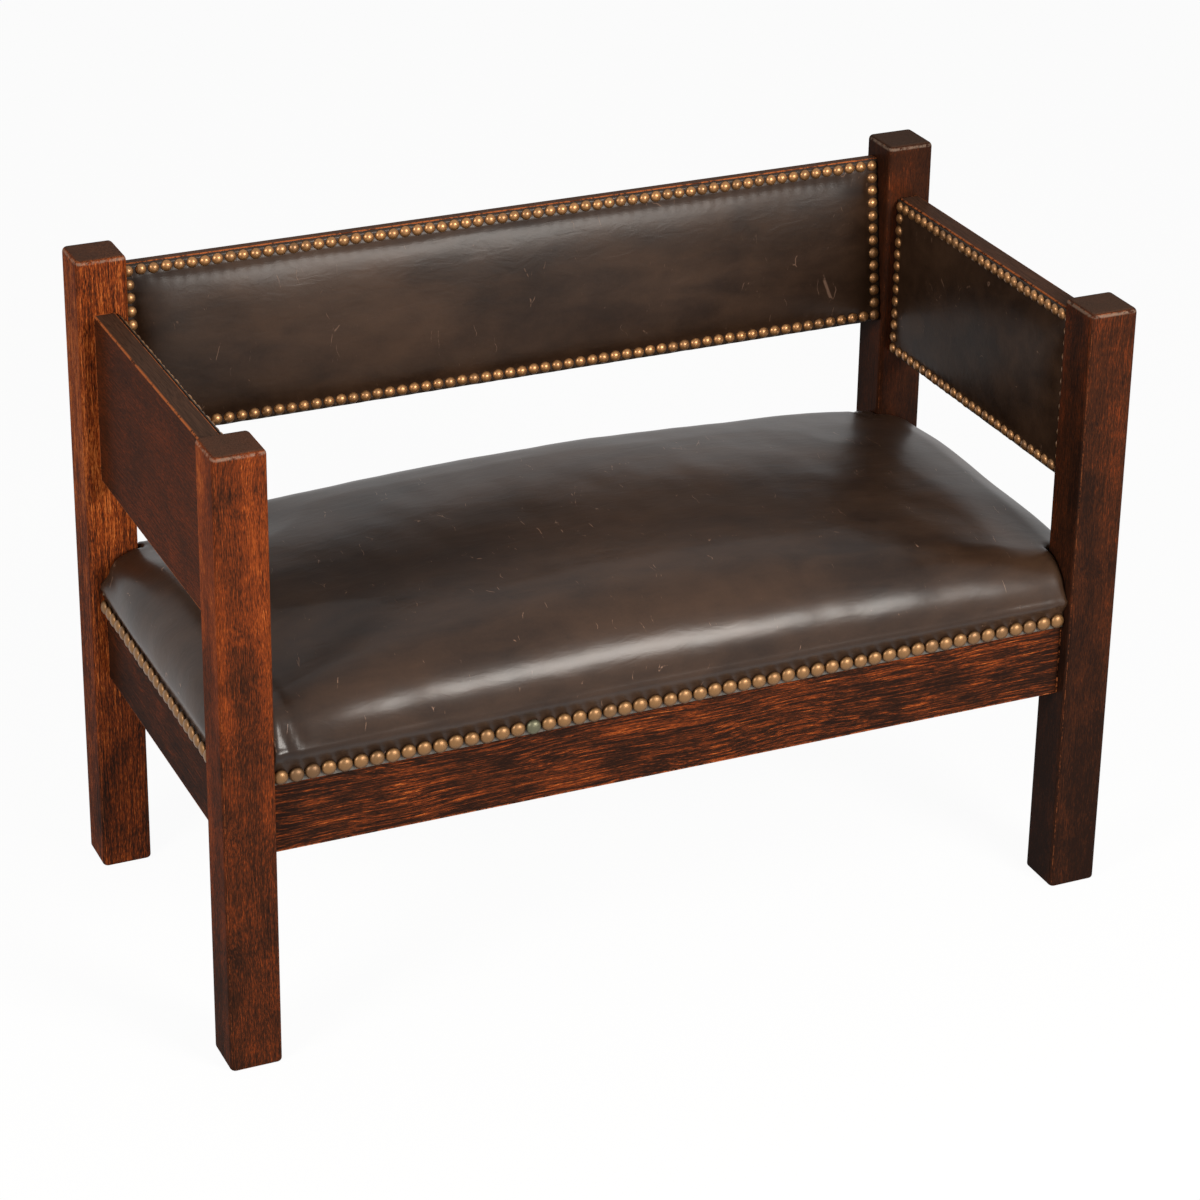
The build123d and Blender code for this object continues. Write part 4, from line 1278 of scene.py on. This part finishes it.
class SETTLE_OT_set_stage(bpy.types.Operator):
    """Set the floor, the lamps, the sky and the camera"""

    bl_idname = "settle.set_stage"
    bl_label = "Set the stage"

    floor_size = 60
    floor_level = -0.0002
    lamp_target = (0.0, 0.0, 0.45)
    camera_place = (-1.7158, -3.7890, 2.4417)
    camera_right = (0.9232, -0.3843, 0.0022)
    camera_up = (0.1526, 0.3719, 0.9156)
    camera_forward = (0.3527, 0.8450, -0.4020)
    camera_lens = 107.86
    camera_sensor = 36.0
    camera_reach = 100.0
    camera_shift = (0.0867, -0.1358)

    def execute(self, context):
        stage = context.scene.settle_stage
        self.lay_floor(stage)
        self.light_sky(stage)
        self.hang_lamp("key_lamp", (1.15, -2.95, 1.80), (1.2, 1.0), stage.key)
        self.hang_lamp("side_lamp", (-2.9, -1.5, 2.1), (1.0, 1.0), stage.fill)
        self.place_camera(context.scene)
        context.scene.view_settings.view_transform = "Standard"
        return {"FINISHED"}

    @staticmethod
    def seen(nodes, links):
        """One for the rays of the camera, of reflections and of transmission, and nought for the light's."""
        paths = nodes.new("ShaderNodeLightPath").outputs
        seen = paths["Is Camera Ray"]
        for name in ("Is Glossy Ray", "Is Transmission Ray"):
            either = nodes.new("ShaderNodeMath")
            either.operation = "MAXIMUM"
            links.new(seen, either.inputs[0])
            links.new(paths[name], either.inputs[1])
            seen = either.outputs[0]
        return seen

    def lay_floor(self, stage):
        """A pale floor that is nearly white to the eye and keeps the settle's soft shadow."""
        deselect()
        bpy.ops.mesh.primitive_plane_add(size=self.floor_size, location=(0, 0, self.floor_level))
        floor = bpy.context.active_object
        floor.name = "pale_floor"
        recipe = Recipe("pale_floor")
        recipe.finish(Base_Color=tuple(stage.floor), Roughness=0.9, Specular_IOR_Level=0.0)
        nodes, links = recipe.tree.nodes, recipe.tree.links
        share_seen = recipe.math("MULTIPLY", self.seen(nodes, links), stage.white)
        glow = recipe.node("ShaderNodeEmission", {"Strength": 1.0})
        blend = recipe.node("ShaderNodeMixShader", {0: share_seen})
        links.new(recipe.shader.outputs[0], blend.inputs[1])
        links.new(glow.outputs[0], blend.inputs[2])
        links.new(blend.outputs[0], nodes["Material Output"].inputs["Surface"])
        floor.data.materials.append(recipe.material)

    def light_sky(self, stage):
        """White to the eye and in reflections, and a plain grey for the light that it gives."""
        world = bpy.data.worlds.new("plain_studio")
        world.use_nodes = True
        bpy.context.scene.world = world
        nodes, links = world.node_tree.nodes, world.node_tree.links
        shader = nodes["Background"]
        shader.inputs["Color"].default_value = (1, 1, 1, 1)
        level = nodes.new("ShaderNodeMapRange")
        links.new(self.seen(nodes, links), level.inputs["Value"])
        level.inputs["To Min"].default_value = stage.sky
        level.inputs["To Max"].default_value = 1.0
        links.new(level.outputs["Result"], shader.inputs["Strength"])

    def hang_lamp(self, name, place, size, power):
        """A softbox that is turned to the middle of the settle."""
        deselect()
        bpy.ops.object.light_add(type="AREA", location=place)
        lamp = bpy.context.active_object
        lamp.name = name
        lamp.data.shape = "RECTANGLE"
        lamp.data.size, lamp.data.size_y = size
        lamp.data.energy = power
        lamp.data.color = bpy.context.scene.settle_stage.warmth
        aim = Vector(self.lamp_target) - Vector(place)
        lamp.rotation_euler = aim.to_track_quat("-Z", "Y").to_euler()

    def place_camera(self, scene):
        """The camera that was fitted to the photograph."""
        data = bpy.data.cameras.new("photo_camera")
        camera = bpy.data.objects.new("photo_camera", data)
        scene.collection.objects.link(camera)
        back = -Vector(self.camera_forward)
        turn = Matrix((self.camera_right, self.camera_up, back)).transposed()
        camera.matrix_world = Matrix.Translation(self.camera_place) @ turn.to_4x4()
        data.sensor_width = self.camera_sensor
        data.lens = self.camera_lens
        data.clip_end = self.camera_reach
        data.shift_x, data.shift_y = self.camera_shift
        scene.camera = camera


class SETTLE_PT_workshop(bpy.types.Panel):
    """Lists the steps of the settle and their settings"""

    bl_idname = "SETTLE_PT_workshop"
    bl_label = "Mission settle"
    bl_space_type = "VIEW_3D"
    bl_region_type = "UI"
    bl_category = "Settle"

    def draw(self, context):
        scene = context.scene
        for operator, settings in STEPS:
            self.layout.operator(operator.bl_idname)
            if settings:
                group = getattr(scene, settings)
                box = self.layout.box()
                for name in group.bl_rna.properties.keys():
                    if name not in ("rna_type", "name"):
                        box.prop(group, name)


SETTINGS = {
    "settle_oak": SettleOakSettings,
    "settle_hide": SettleHideSettings,
    "settle_nails": SettleNailSettings,
    "settle_seat": SettleSeatSettings,
    "settle_stage": SettleStageSettings,
}
STEPS = (
    (SETTLE_OT_finish_oak, "settle_oak"),
    (SETTLE_OT_upholster_seat, "settle_seat"),
    (SETTLE_OT_upholster_panels, "settle_hide"),
    (SETTLE_OT_drive_nails, "settle_nails"),
    (SETTLE_OT_fit_underside, None),
    (SETTLE_OT_set_stage, "settle_stage"),
)


def register():
    """Registers the settings, the operators and the panel."""
    for name, group in SETTINGS.items():
        bpy.utils.register_class(group)
        setattr(bpy.types.Scene, name, bpy.props.PointerProperty(type=group))
    for operator, _ in STEPS:
        bpy.utils.register_class(operator)
    bpy.utils.register_class(SETTLE_PT_workshop)


def unregister():
    """Takes back what register added."""
    bpy.utils.unregister_class(SETTLE_PT_workshop)
    for operator, _ in reversed(STEPS):
        bpy.utils.unregister_class(operator)
    for name, group in reversed(SETTINGS.items()):
        delattr(bpy.types.Scene, name)
        bpy.utils.unregister_class(group)


def main():
    """Builds the settle step by step."""
    register()
    bpy.ops.settle.finish_oak()
    bpy.ops.settle.upholster_seat()
    bpy.ops.settle.upholster_panels()
    bpy.ops.settle.drive_nails()
    bpy.ops.settle.fit_underside()
    bpy.ops.settle.set_stage()


if __name__ == "__main__":
    main()
